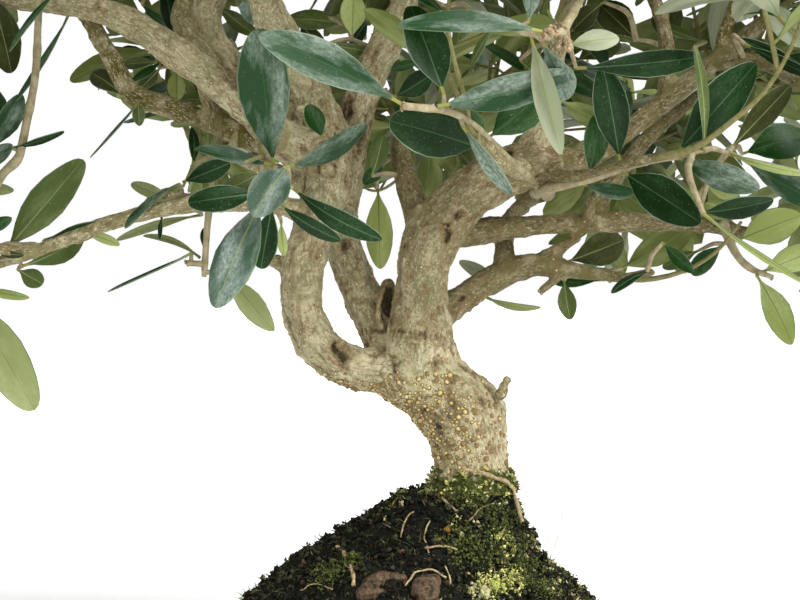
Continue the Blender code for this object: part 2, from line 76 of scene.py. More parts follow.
# Limbs: the limb each one springs from, and its route as (x, y, z, radius)
Limb = namedtuple("Limb", "parent route")
LIMBS = {
    # The trunk leans left above its elbow and forks there
    "trunk": Limb(None, [
        (24, 0, 100, 19.5), (24, 0, 106, 16.8), (24, 0, 113, 15.6), (22, 0, 124, 16.4),
        (18, 0, 134, 17.6), (9, 0, 142, 16.0), (-1, 0, 147, 13.6), (-11, 0, 150, 11.0)]),
    "left_limb_bend": Limb("trunk", [
        (-10, 0, 150, 10.2), (-27, -2, 153, 8.7), (-39, -4, 161, 9.4), (-46, -5, 173, 8.8),
        (-47, -6, 183, 8.3)]),
    "left_limb": Limb("left_limb_bend", [
        (-47, -6, 182, 8.1), (-47, -6, 193, 8.5), (-42, -4, 212, 8.6), (-37, 0, 231, 10.4),
        (-38, 3, 246, 10.6), (-44, 1, 268, 8.2)]),
    "right_trunk": Limb("trunk", [
        (4, 0, 142, 13.0), (2, -1, 161, 13.4), (3, -3, 183, 10.7), (4, -4, 196, 10.8),
        (9, -6, 210, 12.4)]),
    "middle_limb": Limb("trunk", [
        (-8, 4, 150, 7.6), (-16, 9, 169, 8.1), (-24, 14, 185, 7.9), (-32, 22, 210, 7.1),
        (-30, 24, 235, 7.4), (-27, 20, 254, 8.4), (-19, 16, 277, 7.2), (-5, 15, 303, 6.4)]),
    "right_limb": Limb("right_trunk", [
        (9, -6, 209, 11.2), (19, -8, 221, 10.2), (32, -12, 230, 10.0), (46, -16, 235, 9.0),
        (55, -16, 236, 6.6)]),
    # Boughs of the left limb
    "left_up_bough": Limb("left_limb", [
        (-43, 1, 266, 7.6), (-52, -8, 282, 8.0), (-58, -22, 293, 7.0), (-62, -42, 305, 5.6),
        (-64, -58, 313, 4.4)]),
    "left_outer_bough": Limb("left_limb", [
        (-38, 2, 243, 8.2), (-54, -3, 247, 7.5), (-84, -12, 271, 6.8), (-125, -15, 297, 5.4),
        (-169, -18, 303, 3.6)]),
    "left_green_bough": Limb("left_limb", [
        (-38, 4, 238, 7.0), (-59, 12, 246, 6.0), (-75, 15, 252, 5.4), (-97, 12, 260, 4.4),
        (-120, 8, 268, 4.4), (-129, 6, 283, 3.9), (-140, 6, 302, 3.4)]),
    "left_behind_bough": Limb("left_green_bough", [
        (-76, 15, 252, 3.2), (-86, 22, 266, 3.2), (-97, 28, 290, 3.3), (-108, 40, 316, 2.9)]),
    "curled_bough": Limb("left_limb", [
        (-42, 3, 258, 7.6), (-66, 12, 268, 7.3), (-82, 14, 283, 7.2), (-89, 10, 300, 6.8),
        (-82, 5, 316, 5.8)]),
    "left_low_bough": Limb("left_limb", [
        (-43, -4, 214, 4.2), (-56, -12, 219, 3.8), (-90, -20, 219, 3.4), (-124, -22, 211, 3.0),
        (-150, -23, 201, 2.7), (-172, -24, 194, 2.3)]),
    "left_back_bough": Limb("left_limb", [
        (-38, 0, 228, 5.0), (-50, 28, 232, 4.2), (-74, 72, 244, 3.4), (-92, 104, 252, 2.7)]),
    "front_left_bough": Limb("left_low_bough", [
        (-154, -23, 200, 2.6), (-168, -38, 201, 2.3), (-180, -64, 206, 1.9)]),
    "whorl_bough": Limb("left_outer_bough", [
        (-58, -4, 249, 3.2), (-62, -18, 246, 2.7), (-61, -34, 241, 2.2)]),
    # Boughs of the middle limb
    "centre_bough": Limb("middle_limb", [
        (-6, 15, 301, 6.0), (-1, 15, 322, 5.2), (1, 15, 338, 4.4)]),
    "back_top_bough": Limb("middle_limb", [
        (-19, 16, 277, 4.8), (-12, 34, 290, 4.0), (-6, 62, 308, 3.4), (-2, 88, 322, 2.8)]),
    # Boughs of the right trunk and limb
    "right_up_bough": Limb("right_trunk", [
        (6, -4, 204, 6.2), (0, 5, 220, 5.2), (-4, 14, 234, 4.7), (-6, 36, 252, 4.2),
        (-2, 68, 262, 3.6), (0, 100, 264, 2.9)]),
    "inner_bough": Limb("right_up_bough", [
        (-6, 34, 251, 3.4), (10, 44, 262, 2.9), (30, 54, 276, 2.3)]),
    "right_middle_bough": Limb("right_trunk", [
        (8, -5, 206, 5.8), (27, 0, 209, 5.0), (58, 4, 212, 4.2), (82, 6, 213, 4.7),
        (118, 12, 213, 3.4), (146, 18, 209, 2.7), (160, 20, 212, 2.2)]),
    "right_brown_bough": Limb("right_middle_bough", [
        (74, 6, 213, 3.5), (83, 12, 227, 3.1), (103, 26, 252, 3.2), (133, 44, 276, 2.6)]),
    "right_low_bough": Limb("right_trunk", [
        (2, -1, 166, 6.4), (20, 3, 181, 5.8), (45, 7, 194, 5.6), (64, 8, 193, 3.8),
        (80, 9, 191, 2.6)]),
    "right_back_bough": Limb("right_low_bough", [
        (38, 6, 192, 4.0), (39, 17, 206, 3.7), (46, 40, 220, 3.5), (64, 72, 234, 3.1),
        (84, 104, 244, 2.6)]),
    "right_green_bough": Limb("right_limb", [
        (50, -16, 235, 5.8), (65, -14, 237, 4.9), (80, -12, 244, 4.2), (118, -10, 274, 3.9),
        (144, -6, 295, 3.2)]),
    "right_fork_bough": Limb("right_green_bough", [
        (124, -9, 279, 3.3), (140, -18, 277, 2.9), (152, -28, 268, 2.5)]),
    "top_right_bough": Limb("right_green_bough", [
        (104, -10, 263, 3.4), (104, -6, 290, 3.1), (96, 0, 318, 2.7)]),
    "front_top_bough": Limb("right_limb", [
        (46, -15, 236, 5.6), (53, -19, 256, 4.8), (55, -32, 271, 4.0), (56, -52, 288, 3.0)]),
    "front_centre_bough": Limb("right_limb", [
        (45, -15, 233, 4.4), (34, -44, 233, 3.0), (24, -74, 238, 2.3)]),
    "front_right_bough": Limb("right_limb", [
        (53, -16, 235, 3.6), (60, -30, 229, 2.5), (76, -54, 231, 2.0), (88, -66, 233, 1.7)]),
}
MAIN_LIMBS = ("trunk", "left_limb_bend", "left_limb", "right_trunk", "middle_limb", "right_limb")
RING_STEP = 2.8            # spacing of a limb's rings in the source, in radii
RING_STEP_LEAST = 9.5
KNOBS = 0.06               # share by which the bark's swellings change a radius
FINE_STEP = 2.0            # spacing of the rings here
COLLAR = 0.42              # how much wider a limb is where it springs from its parent
COLLAR_FADE = 1.5          # how soon that fades, in radii
AT_TIP = 4.0               # a limb that starts this near its parent's tip goes on from it
HALF_BALL = ((0.5, 0.87), (0.87, 0.5), (0.98, 0.2))   # how far out and how wide, in radii

# Masses of leaves: the bough each one grows from, the middle of its space and
# its reach left and right, front and back, and up and down
Mass = namedtuple("Mass", "bough middle reach seed")
MASSES = {
    "left_low_leaves": Mass("left_low_bough", (-194, -16, 186), (58, 64, 60), 19),
    "left_outer_leaves": Mass("left_outer_bough", (-204, -14, 290), (60, 68, 62), 47),
    "left_top_leaves": Mass("left_green_bough", (-146, -6, 360), (66, 68, 64), 13),
    "left_behind_leaves": Mass("left_behind_bough", (-122, 92, 356), (72, 72, 58), 14),
    "left_back_leaves": Mass("left_back_bough", (-118, 140, 278), (76, 68, 56), 15),
    "whorl_leaves": Mass("whorl_bough", (-60, -66, 236), (56, 54, 66), 16),
    "front_left_leaves": Mass("front_left_bough", (-194, -108, 218), (60, 60, 58), 17),
    "curled_bough_leaves": Mass("curled_bough", (-80, 5, 368), (66, 66, 60), 18),
    "front_top_left_leaves": Mass("left_up_bough", (-80, -108, 352), (78, 70, 58), 19),
    "top_leaves": Mass("centre_bough", (-2, 10, 402), (76, 76, 66), 20),
    "back_top_leaves": Mass("back_top_bough", (-8, 128, 352), (78, 72, 64), 21),
    "back_leaves": Mass("right_up_bough", (-6, 152, 276), (76, 66, 62), 22),
    "inner_leaves": Mass("inner_bough", (52, 60, 296), (60, 50, 56), 23),
    "right_back_leaves": Mass("right_back_bough", (112, 148, 250), (78, 68, 66), 24),
    "right_brown_bough_leaves": Mass("right_brown_bough", (160, 78, 302), (72, 66, 66), 25),
    "right_middle_leaves": Mass("right_middle_bough", (186, 30, 228), (58, 62, 48), 32),
    "right_low_leaves": Mass("right_low_bough", (104, -14, 200), (56, 60, 36), 27),
    "right_outer_leaves": Mass("right_green_bough", (192, -5, 338), (60, 66, 64), 28),
    "right_fork_leaves": Mass("right_fork_bough", (186, -62, 252), (60, 64, 64), 29),
    "top_right_leaves": Mass("top_right_bough", (95, 5, 375), (72, 74, 64), 30),
    "front_top_leaves": Mass("front_top_bough", (52, -92, 340), (72, 70, 62), 31),
    "front_centre_leaves": Mass("front_centre_bough", (16, -96, 262), (62, 58, 48), 32),
    "front_right_leaves": Mass("front_right_bough", (114, -92, 256), (66, 60, 56), 33),
}
SPACE_MARGIN = 0.4         # kept clear on each side of the plane between two masses
LIMB_MARGIN = 1.6          # kept clear round every limb
STEM_CLEAR = 9.0           # but a stem's first stretch lies beside its own bough's tip
TWIG_MARGIN = 0.6          # kept clear between a blade and the twigs

# Twigs: tapering, shorter by this share in each order
STEM_RADIUS = 1.7
TWIG_TAPER = 0.72
TWIG_TIP_RADIUS = 0.8
KNOT_SPACING = 19.0        # from one pair of leaves to the next
JOINT_SHARE = 0.5          # where a pair of leaves sits, as a share of that
TIP_SETBACK = 1.6          # the last pair sits this far below a twig's tip
TIP_CLOSE = 0.6            # and stands closer to it than the others
SHOOT_ANGLE = (42.0, 68.0)
SHOOT_SHARE = (0.55, 0.8)  # of its parent's length
TWIG_ORDERS = 1            # the stem bears side shoots, and those bear only leaves
TWIG_WANDER = 0.22
TURN_TO_MIDDLE = 0.2
TURN_TO_LIGHT = 0.1
UPWARD = Vector((0.0, 0.0, 1.0))

# Leaves: lance shaped, in opposite pairs that cross at right angles
LEAF_LENGTH = (40.0, 58.0)
LEAF_WIDTH = 0.4           # of its length
LEAF_WIDEST = 0.47         # where it is widest, as a share of its length
LEAF_ARCH = 0.02           # how far it arches up, as a share of its length
LEAF_SINK = 0.2            # its root reaches this far past the twig's axis
LEAF_ANGLE = (42.0, 72.0)  # between the leaf and its twig
LEAF_TWIST = 0.5           # about its twig, in radians
LEAF_DROOP = 0.16
LEAF_TRIALS = 4
LEAF_SHRINK = 0.88         # of its length at each trial
SAMPLES_ALONG = np.linspace(0.12, 1.0, 8)
SAMPLES_ACROSS = (-0.5, -0.25, 0.0, 0.25, 0.5)
BLADE_FROM = 2 * len(SAMPLES_ACROSS)   # the samples after these lie well out from the root

Leaf = namedtuple("Leaf", "root way up length twig")
Twig = namedtuple("Twig", "points order parent")
Bud = namedtuple("Bud", "root ahead side close twig")

# --- Looks ---------------------------------------------------------------------

# Wood: fused and evened out by a voxel remesh, then given its bark's relief
MAIN_VOXEL = 0.70
BOUGH_VOXEL = 0.97
TUBE_SIDES = 20
RELAX_ROUNDS = 4
RELAX_IN, RELAX_OUT = 0.5, -0.53
# The bark's relief: how high each kind stands on young wood, and how much more on
# old wood
FIBRES, LUMPS, SMALL_LUMPS, PITS = (0.2, 0.2), (0.3, 0.85), (0.24, 0.34), (0.3, 0.8)
YOUNG_WOOD, OLD_WOOD = 3.0, 9.0   # the radii at which wood is young and old
LIMB_SHIFT = 37.0          # between the patterns of one limb and the next
SEAM_ROUNDS, SEAM_FADE = 3, 0.8
MOSS_TOP = 116.0           # moss thins out from here down to the trunk's foot
MAIN_CHANCE_MARKS, BOUGH_CHANCE_MARKS = 14, 190
CREASE_RADIUS = 1.1
CREASE_SHARES = (0.0, 0.25, 0.5, 0.75)
MARK_SPREAD = 3.0          # how far a mark reaches, in its radii
FULL_MARK = 4.0            # a mark of a smaller radius is less high

# Seeds: those of the finer twigs, leaves and shades are added to a mass's own
FINER_SEED, FINER_LEAF_SEED, SHADE_SEED = 100, 200, 300
MARK_SEED, WART_SEED, BUD_SEED, GROUND_SEED = 3, 5, 8, 17

# Sides of the tubes: twigs by order, pale twigs, thin shoots and roots, stones
TWIG_SIDES = (6, 6, 5)
PALE_SIDES, THIN_SIDES, STONE_SIDES, STRAND_SIDES = 10, 7, 16, 3

# Leaves: where a near leaf and any other has its rings, as shares of its length
NEAR_RINGS = [0.0, 0.04, 0.085, 0.155, 0.26, 0.40, 0.55, 0.70, 0.82, 0.905, 0.96, 0.988, 1.0]
LEAF_RINGS = [0.0, 0.085, 0.20, 0.38, 0.60, 0.80, 0.94, 1.0]
NEAR_COLUMNS, LEAF_COLUMNS = 8, 6
PETIOLE_END = 0.085        # as a share of the length
PETIOLE_HALF = 0.55
RIM_FROM = 0.955            # of the half width
RIB_HALF = 0.32
RIB_TIP_HALF = 0.1
BLADE_THICK = 0.55
RIM_THICK = 0.3
PETIOLE_THICK = 1.1
# What varies from leaf to leaf: how it bends, folds, rolls and twists, how far it
# sways aside, where it is widest and how blunt it is
LEAF_VARIES = ((-0.15, 0.85), (0.04, 0.36), (0.0, 0.22), (-0.45, 0.45), (-0.22, 0.22), (1.0, 1.3),
               (0.42, 0.56))
WIDTH_VARIES = (0.84, 1.06)
TINY_SHOOT_LENGTH = (15.0, 27.0)
TINY_LEAF_LENGTH = (26.0, 43.0)
LEAF_GAP = 2.1             # between the samples of two blades here
SHOWN_REACH = 60.0         # shown leaves farther than this from a mass's reach aren't tested
NEAR_ENOUGH = 70.0         # nor are blades with samples farther apart than this
HIDDEN_SHARE = 0.3         # a twig is left out if this much of it hides what shows
LEAF_CREASE = 55           # degrees from which an edge of a leaf is sharp
TWIG_STEP, SHOOT_STEP, BALL_STEP, ROOT_STEP = 5.0, 3.0, 1.5, 1.2   # between rings
TWIG_SLIM = 0.8            # of its radius in the rule
STEM_FADE = 7.0            # how soon a stem takes its own radius past the bough's end
OTHER_SHADE = 0.2          # share of a spray's leaves that differ from it

# What the photograph shows of the near and outlying twigs. A place is a pixel of
# the photograph with its depth, in millimetres behind the trunk's axis; a twig's
# route has its radius too.
# Buds at the twigs' ends: place and size
BUDS = [
    (548, 32, -131, 1.5), (545, 36, -132, 1.2), (556, 36, -129, 1.3), (562, 43, -130, 1.5),
    (567, 50, -130, 1.3), (561, 26, -124, 1.1), (552, 28, -130, 1.0), (404, 106, -132, 0.9),
    (402, 108, -132, 0.8), (168, 196, -18, 1.2), (187, 263, -14, 1.1), (680, 157, -61, 0.9),
    (772, 277, 0, 1.0), (541, 291, 2, 1.1),
]
SHOWN_BOUGHS = {
    "left_rising_bough": [
        (214, 68, 0, 4.4), (196, 45, 4, 4.1), (180, 20, 8, 3.8), (184, 0, 11, 3.6),
        (196, -40, 16, 3.0), (200, -80, 20, 2.4),
    ],
    "left_link": [(213, 130, 12, 3.2), (208, 105, 8, 2.8), (203, 82, 0, 3.0)],
    "left_dark_stub": [(292, 268, -2, 3.2), (262, 257, -10, 1.9), (246, 250, -14, 1.2)],
    "right_side_branch": [
        (590, 226, 4, 3.0), (590, 205, -4, 2.4), (603, 190, -8, 2.0), (618, 177, -10, 1.6),
    ],
    "right_low_fork": [
        (552, 264, 9, 4.0), (575, 272, 9, 3.0), (600, 273, 8, 2.2), (622, 278, 6, 1.9),
        (652, 272, 4, 1.4),
    ],
    "right_low_upper_fork": [(540, 262, 8, 3.8), (560, 248, 8, 2.6), (577, 238, 6, 1.9)],
    "right_low_stub": [(562, 273, 6, 2.4), (541, 291, 2, 1.4)],
    "right_rising_fork": [
        (722, 54, -8, 3.4), (726, 30, -6, 2.9), (736, 0, -4, 2.6), (744, -40, 0, 1.9),
    ],
    "left_cut_stub": [(196, 206, -8, 2.4), (186, 197, -13, 2.0), (168, 196, -18, 1.7)],
    "right_sawn_stub": [(545, 188, 4, 3.6), (548, 184, -8, 3.3), (549, 183, -12, 3.0)],
    "crotch": [(390, 338, 6, 6.0), (386, 314, 8, 5.2), (387, 298, 9, 4.4), (388, 287, 9, 3.2)],
    "crotch_shoot": [
        (381, 330, -3, 1.5), (378, 312, -5, 1.3), (381, 296, -4, 1.1), (384, 289, -2, 0.9),
    ],
    "elbow_stub": [(499, 396, -8, 2.0), (503, 388, -9, 1.3), (507, 379, -10, 1.4)],
}
PALE_TWIGS = {
    "left_near": [
        (-14, 262, -24, 2.2), (-12, 210, -34, 1.9), (0, 178, -42, 1.8), (17, 160, -45, 1.8),
        (22, 145, -46, 1.7), (28, 115, -48, 1.6), (34, 85, -50, 1.5), (37, 55, -50, 1.5),
        (38, 25, -50, 1.4), (42, -30, -48, 1.2),
    ],
    "left_hanging": [
        (222, 128, 13, 1.6), (213, 168, -4, 1.4), (210, 200, -10, 1.4), (207, 230, -11, 1.4),
        (205, 262, -12, 1.3), (204, 277, -12, 1.0),
    ],
    "left_hanging_stub": [(205, 264, -12, 1.2), (187, 263, -14, 1.3)],
    "whorl": [
        (262, 146, -33, 2.0), (268, 158, -52, 1.7), (274, 170, -66, 1.6), (281, 186, -82, 1.1),
    ],
    "near": [
        (548, 194, 2, 2.8), (536, 183, -14, 2.1), (516, 166, -38, 1.5), (500, 150, -58, 1.25),
        (486, 136, -75, 1.15), (470, 122, -94, 1.15), (445, 111, -116, 1.15), (404, 106, -132, 1.3),
    ],
    "near_top": [
        (556, 40, 0, 2.8), (562, 18, -40, 2.2), (576, 2, -78, 1.8), (579, 0, -100, 1.7),
        (570, 18, -116, 1.6), (560, 34, -124, 2.0), (552, 36, -128, 1.5), (545, 33, -130, 1.9),
    ],
    "near_top_side": [(549, 36, -127, 1.5), (522, 31, -122, 1.3), (492, 22, -112, 1.1)],
    "near_top_buds": [(560, 34, -124, 1.6), (566, 44, -128, 1.9), (571, 50, -129, 1.2)],
    "near_right": [
        (536, 192, 2, 2.6), (546, 189, -16, 2.2), (562, 186, -28, 1.8), (600, 176, -40, 1.6),
        (640, 163, -50, 1.4), (668, 158, -56, 1.3), (681, 157, -61, 1.1),
    ],
    "right_end": [(722, 222, 6, 2.4), (735, 252, 2, 1.7), (750, 268, 0, 1.4), (772, 277, 0, 1.0)],
}
# Leaves: root and tip as places, width in pixels, shade, and how far the leaf is
# turned about its length, from 0 with its top to the camera, in degrees
Shown = namedtuple("Shown", "x y depth tip_x tip_y tip_depth width shade roll")
SHOWN_LEAVES = [Shown(*row) for row in (
    # At the left edge
    (4, 252, -26, 79, 161, -34, 40, "olive", 12), (22, 266, -22, 88, 238, -14, 27, "olive", 25),
    (18, 270, -20, 43, 284, -14, 20, "olive", 0), (44, 240, -22, 93, 223, -26, 13, "dark", 50),
    (-28, 288, -20, 28, 297, -20, 11, "pale", 30), (-6, 250, -30, 22, 257, -34, 9, "brown", 40),
    (84, 233, -18, 120, 241, -12, 11, "pale", 20), (-28, 188, -30, 13, 188, -26, 13, "soft", 20),
    (-32, 292, -34, 33, 404, -52, 46, "soft", 8), (-14, 154, -46, 27, 99, -52, 24, "blue", 20),
    (11, 148, -46, 62, 134, -52, 12, "dark", 55), (-24, 170, -44, 9, 147, -58, 18, "blue", 0),
    (-10, -8, -24, 18, 69, -20, 36, "brown", 10), (60, -10, -46, 5, 45, -66, 11, "silver", 55),
    (70, 12, -14, 22, 101, -56, 10, "silver", 60), (-20, 232, -30, 8, 222, -40, 14, "silver", 0),
    # Behind the green bough
    (157, 50, 26, 70, 66, 36, 23, "olive", 160), (126, 98, 20, 89, 68, 26, 22, "brown", 15),
    (158, 62, 24, 122, 64, 30, 13, "olive", 20), (161, 62, 18, 134, 82, 14, 13, "silver", 40),
    (160, 68, 26, 142, 90, 32, 14, "brown", 0), (177, 68, 24, 175, 99, 22, 19, "pale", 0),
    (222, 100, 34, 172, 98, 44, 16, "olive", 20), (138, 101, 6, 139, 125, 4, 13, "olive", 0),
    (138, 102, 2, 96, 156, -14, 9, "silver", 76), (164, -20, 24, 173, 30, 20, 18, "dark", 0),
    (216, 4, 30, 254, 38, 38, 17, "olive", 0), (142, 4, 20, 168, 30, 26, 13, "silver", 30),
    (232, 118, 20, 218, 100, 24, 16, "soft", 0),
    # Round the hanging twig
    (183, 182, -12, 230, 164, -24, 22, "dark", 10), (193, 164, 4, 196, 128, 8, 13, "dark", 20),
    (179, 184, -12, 119, 220, -40, 12, "blue", 62), (176, 203, 2, 131, 181, 10, 14, "soft", 0),
    (202, 215, 4, 117, 231, 10, 11, "soft", 35), (200, 258, -10, 147, 226, -2, 9, "soft", 45),
    (192, 253, -13, 111, 292, -34, 8, "blue", 74), (204, 252, -10, 205, 228, -6, 9, "dark", 30),
    (162, 216, -10, 158, 239, -14, 5, "dark", 30),
    # The whorl
    (274, 168, -66, 256, 33, -92, 54, "blue", 8), (286, 167, -74, 376, 136, -62, 26, "blue", 30),
    (270, 165, -68, 196, 152, -80, 21, "blue", 35), (288, 166, -86, 254, 212, -104, 40, "grey", 15),
    (260, 193, -76, 190, 203, -84, 28, "dark", 15), (264, 196, -84, 206, 304, -108, 45, "grey", 20),
    (273, 203, -74, 262, 268, -72, 28, "dark", 30), (293, 188, -80, 371, 250, -92, 23, "dark", 25),
    (281, 205, -76, 338, 242, -80, 21, "dark", 35), (228, 274, -14, 267, 329, -32, 25, "soft", 0),
    (281, 220, -30, 283, 256, -26, 11, "pale", 20), (262, 172, -20, 222, 196, -4, 22, "olive", 20),
    # The near twig
    (403, 105, -132, 268, 22, -150, 42, "blue", 12),
    (437, 106, -122, 574, 84, -110, 37, "blue", 10), (444, 95, -114, 412, 6, -104, 46, "dark", 18),
    (479, 148, -86, 398, 117, -116, 50, "dark", 0),
    (463, 126, -104, 512, 193, -100, 18, "blue", 40), (488, 138, -66, 552, 89, -78, 42, "mid", 5),
    (487, 142, -68, 469, 101, -74, 13, "mid", 35),
    # The near twig at the top
    (542, 32, -130, 404, 7, -146, 25, "blue", 30),
    (531, 36, -122, 559, 152, -112, 26, "silver", 180),
    (543, 42, -118, 573, 99, -104, 34, "blue", 20),
    (566, 46, -124, 617, 32, -118, 22, "silver", 190),
    (528, 22, -118, 536, -30, -120, 20, "blue", 20), (496, 24, -110, 470, 62, -96, 12, "olive", 50),
    (576, 68, -64, 704, 56, -72, 28, "dark", 15),
    # The near twig on the right
    (620, 162, -46, 606, 67, -56, 36, "dark", 0), (588, 176, -36, 603, 117, -48, 26, "mid", 25),
    (675, 155, -58, 755, 63, -66, 46, "dark", 10), (703, 151, -62, 701, 47, -78, 14, "olive", 45),
    (677, 157, -60, 754, 193, -76, 29, "blue", 12), (622, 172, -48, 701, 220, -72, 42, "dark", 0),
    (584, 184, -34, 634, 196, -46, 19, "blue", 25), (744, 160, -52, 838, 214, -66, 28, "blue", 20),
    (730, 149, -36, 789, 84, -44, 26, "brown", 10), (742, 154, -12, 812, 128, -8, 40, "mid", 0),
    (704, 214, -86, 814, 293, -98, 9, "pale", 50), (757, 276, -4, 798, 340, -22, 28, "pale", 0),
    (663, 243, -6, 692, 271, -16, 15, "mid", 10), (564, 279, 14, 568, 319, 12, 19, "olive", 0),
    (484, 296, 20, 539, 318, 24, 10, "soft", 30), (378, 188, 40, 380, 269, 36, 28, "pale", 0),
    (383, 164, 24, 365, 185, 20, 16, "mid", 0), (700, 212, -30, 774, 202, -40, 27, "dark", 25),
    (728, 153, -50, 812, 182, -70, 13, "pale", 45), (733, 35, -30, 788, 56, -42, 13, "dark", 35),
    (745, 44, -34, 812, 76, -44, 14, "dark", 40),
    # Over the middle of the crown
    (345, 24, 20, 288, 13, 28, 21, "olive", 0), (352, 39, 16, 353, -6, 22, 27, "pale", 0),
    (368, 20, 26, 352, 45, 22, 15, "dark", 10), (328, 44, 12, 378, 50, 16, 12, "olive", 20),
    (394, 97, 8, 433, 78, 2, 25, "dark", 0), (386, 71, 20, 415, 60, 26, 11, "silver", 20),
    (322, 138, -22, 312, 104, -24, 20, "mid", 0), (298, 20, 30, 322, 52, 34, 18, "brown", 0),
    (258, -6, -14, 254, 24, -22, 34, "grey", 20), (372, 176, 6, 386, 134, 10, 19, "olive", 0),
    (470, 8, 10, 452, 44, 6, 16, "olive", 30), (446, 6, 22, 474, -26, 26, 20, "brown", 0),
    (604, 2, 24, 572, 26, 30, 22, "brown", 0), (520, 60, 22, 548, 88, 26, 16, "olive", 0),
    # Low on the right, with the light behind them
    (566, 262, 30, 630, 240, 44, 36, "brown", 0), (622, 268, 22, 694, 234, 30, 34, "olive", 170),
    (738, 240, 12, 800, 214, 6, 36, "pale", 0), (762, 272, 4, 818, 246, -4, 28, "pale", 10),
    (724, 244, 14, 690, 274, 22, 20, "mid", 10), (650, 272, 4, 611, 287, -4, 11, "dark", 40),
    (602, 280, 16, 555, 286, 22, 12, "mid", 30), (700, 250, 22, 660, 268, 30, 16, "olive", 0),
    (704, 186, 10, 742, 186, 4, 26, "pale", 0), (560, 100, 12, 606, 126, 18, 22, "olive", 160),
    (672, 50, 44, 664, 2, 52, 33, "brown", 0), (636, 40, 40, 600, 4, 52, 34, "brown", 20),
    (706, 42, 20, 656, 28, 30, 13, "olive", 30), (500, 286, 30, 462, 262, 40, 16, "silver", 160),
)]
# Shades of the shown leaves; pale and soft give the painted light of leaves lit through from behind
SHADES_SHOWN = {"dark": "top_dark", "mid": "top_mid", "blue": "top_blue", "olive": "top_olive",
                "pale": "top_pale", "soft": "top_soft", "brown": "top_brown", "silver": "top_mid",
                "grey": "top_grey"}
SHOWN_MARGIN = 2           # pixels kept clear each side of a shown leaf
SHOWN_BEHIND = 3.0         # a leaf this far behind a shown one may pass it
NODE_SPACING = 23.0        # between the swellings of a pale twig
NODE_SWELL = 0.16          # how much thicker it is there
BUD_CRUMBS = 7             # small lumps that make up a bud
REACH_TO_WOOD = 3.2        # a leaf's root farther than this from wood gets a shoot to it

# Parts of the photograph, as boxes of pixels: where only sky shows, and where
# wood shows, with the depth that leaves stay behind there
SKY = [
    (44, 12, 82, 60), (42, 62, 88, 130), (60, 130, 98, 160), (100, 124, 184, 180),
    (84, 160, 130, 212), (92, 240, 198, 285), (118, 228, 175, 245), (46, 285, 200, 600),
    (190, 308, 300, 600), (0, 408, 800, 600), (268, 255, 560, 600), (560, 287, 800, 600),
    (345, 195, 402, 330), (322, 275, 352, 345), (632, 0, 652, 20), (480, 240, 500, 260),
]
WOOD_SHOWN = [
    (268, 150, 400, 300, 60), (400, 195, 560, 300, 30), (100, 0, 240, 135, 16),
    (290, 60, 410, 150, 4), (540, 205, 740, 240, 8), (660, 50, 740, 110, -20),
    (240, 0, 290, 40, 10),
]

FLOOR_REACH = 40000
FLOOR_COLOUR = (0.98, 0.98, 0.975)
# Light: a white surround, and soft lights with the way to each, its spread in
# degrees and its strength
AMBIENT = 0.62
SUNS = [
    ("key_light", (0.84, -0.54, 0.90), 50.0, 4.8),
    ("fill_light", (-0.8, -0.8, 0.5), 70.0, 0.6),
]

BARK_SHADES = {
    "tan": (0.62, 0.530, 0.325),
    "grey": (0.42, 0.410, 0.235),
    "brown": (0.235, 0.182, 0.090),
    "young": (0.26, 0.225, 0.085),
    # green: painted shade, the darker and greener bark of limbs in the crown's shade
    "green": (0.135, 0.118, 0.040),
    "vivid": (0.115, 0.104, 0.008),
    "deep": (0.062, 0.048, 0.017),
    "moss": (0.040, 0.054, 0.010),
    "lichen": (0.19, 0.19, 0.045),
    "dark": (0.022, 0.015, 0.007),
    "pale": (0.80, 0.72, 0.49),
    "rust": (0.245, 0.160, 0.070),
}
# Painted shade: how far the bark is darkened and greened on limbs that stand in
# the crown's shade, and how vivid the green of young boughs is; any other limb on
# the right is as the last row
TINTS = {"right_trunk": (0.65, 0.0), "middle_limb": (0.1, 0.0), "right_limb": (0.8, 0.0),
         "left_limb": (0.35, 0.0), "left_green_bough": (0.0, 1.3), "right_rising_fork": (0.2, 0.9),
         "left_link": (0.5, 0.0), "right": (1.0, 0.0)}
# Each part of a leaf: its base colour, the colour of a painted reflection of the
# bright surround streaked over it, and its roughness
LEAF_SHADES = {
    "top_dark": ((0.0030, 0.019, 0.0012), (0.020, 0.058, 0.016), 0.32),
    "top_mid": ((0.0060, 0.042, 0.0020), (0.080, 0.150, 0.058), 0.34),
    "top_blue": ((0.012, 0.044, 0.013), (0.275, 0.335, 0.272), 0.36),
    "top_grey": ((0.035, 0.072, 0.042), (0.310, 0.365, 0.320), 0.4),
    "top_olive": ((0.060, 0.092, 0.018), (0.165, 0.200, 0.080), 0.42),
    # Painted light: top_pale and top_soft are paler copies of a top, for leaves with the light
    # shining through them from behind
    "top_pale": ((0.300, 0.370, 0.105), (0.480, 0.540, 0.230), 0.48),
    "top_soft": ((0.230, 0.265, 0.100), (0.330, 0.360, 0.175), 0.48),
    "top_brown": ((0.030, 0.038, 0.006), (0.088, 0.098, 0.026), 0.42),
    "under_silver": ((0.190, 0.215, 0.125), (0.33, 0.355, 0.24), 0.62),
    "under_olive": ((0.120, 0.150, 0.036), (0.25, 0.285, 0.105), 0.6),
    "rib_dark": ((0.024, 0.070, 0.020), (0.090, 0.150, 0.080), 0.42),
    "rib_pale": ((0.165, 0.205, 0.070), (0.25, 0.285, 0.12), 0.5),
    "rim": ((0.090, 0.140, 0.070), (0.23, 0.29, 0.20), 0.5),
    "stalk": ((0.20, 0.215, 0.045), (0.30, 0.29, 0.08), 0.55),
}
DUST = (0.42, 0.47, 0.42)
BARK_GLOSS, LEAF_GLOSS, PLAIN_GLOSS, FLOOR_GLOSS = 0.18, 0.14, 0.08, 0.5
USUAL_MOTTLE = (2.0, 0.2)
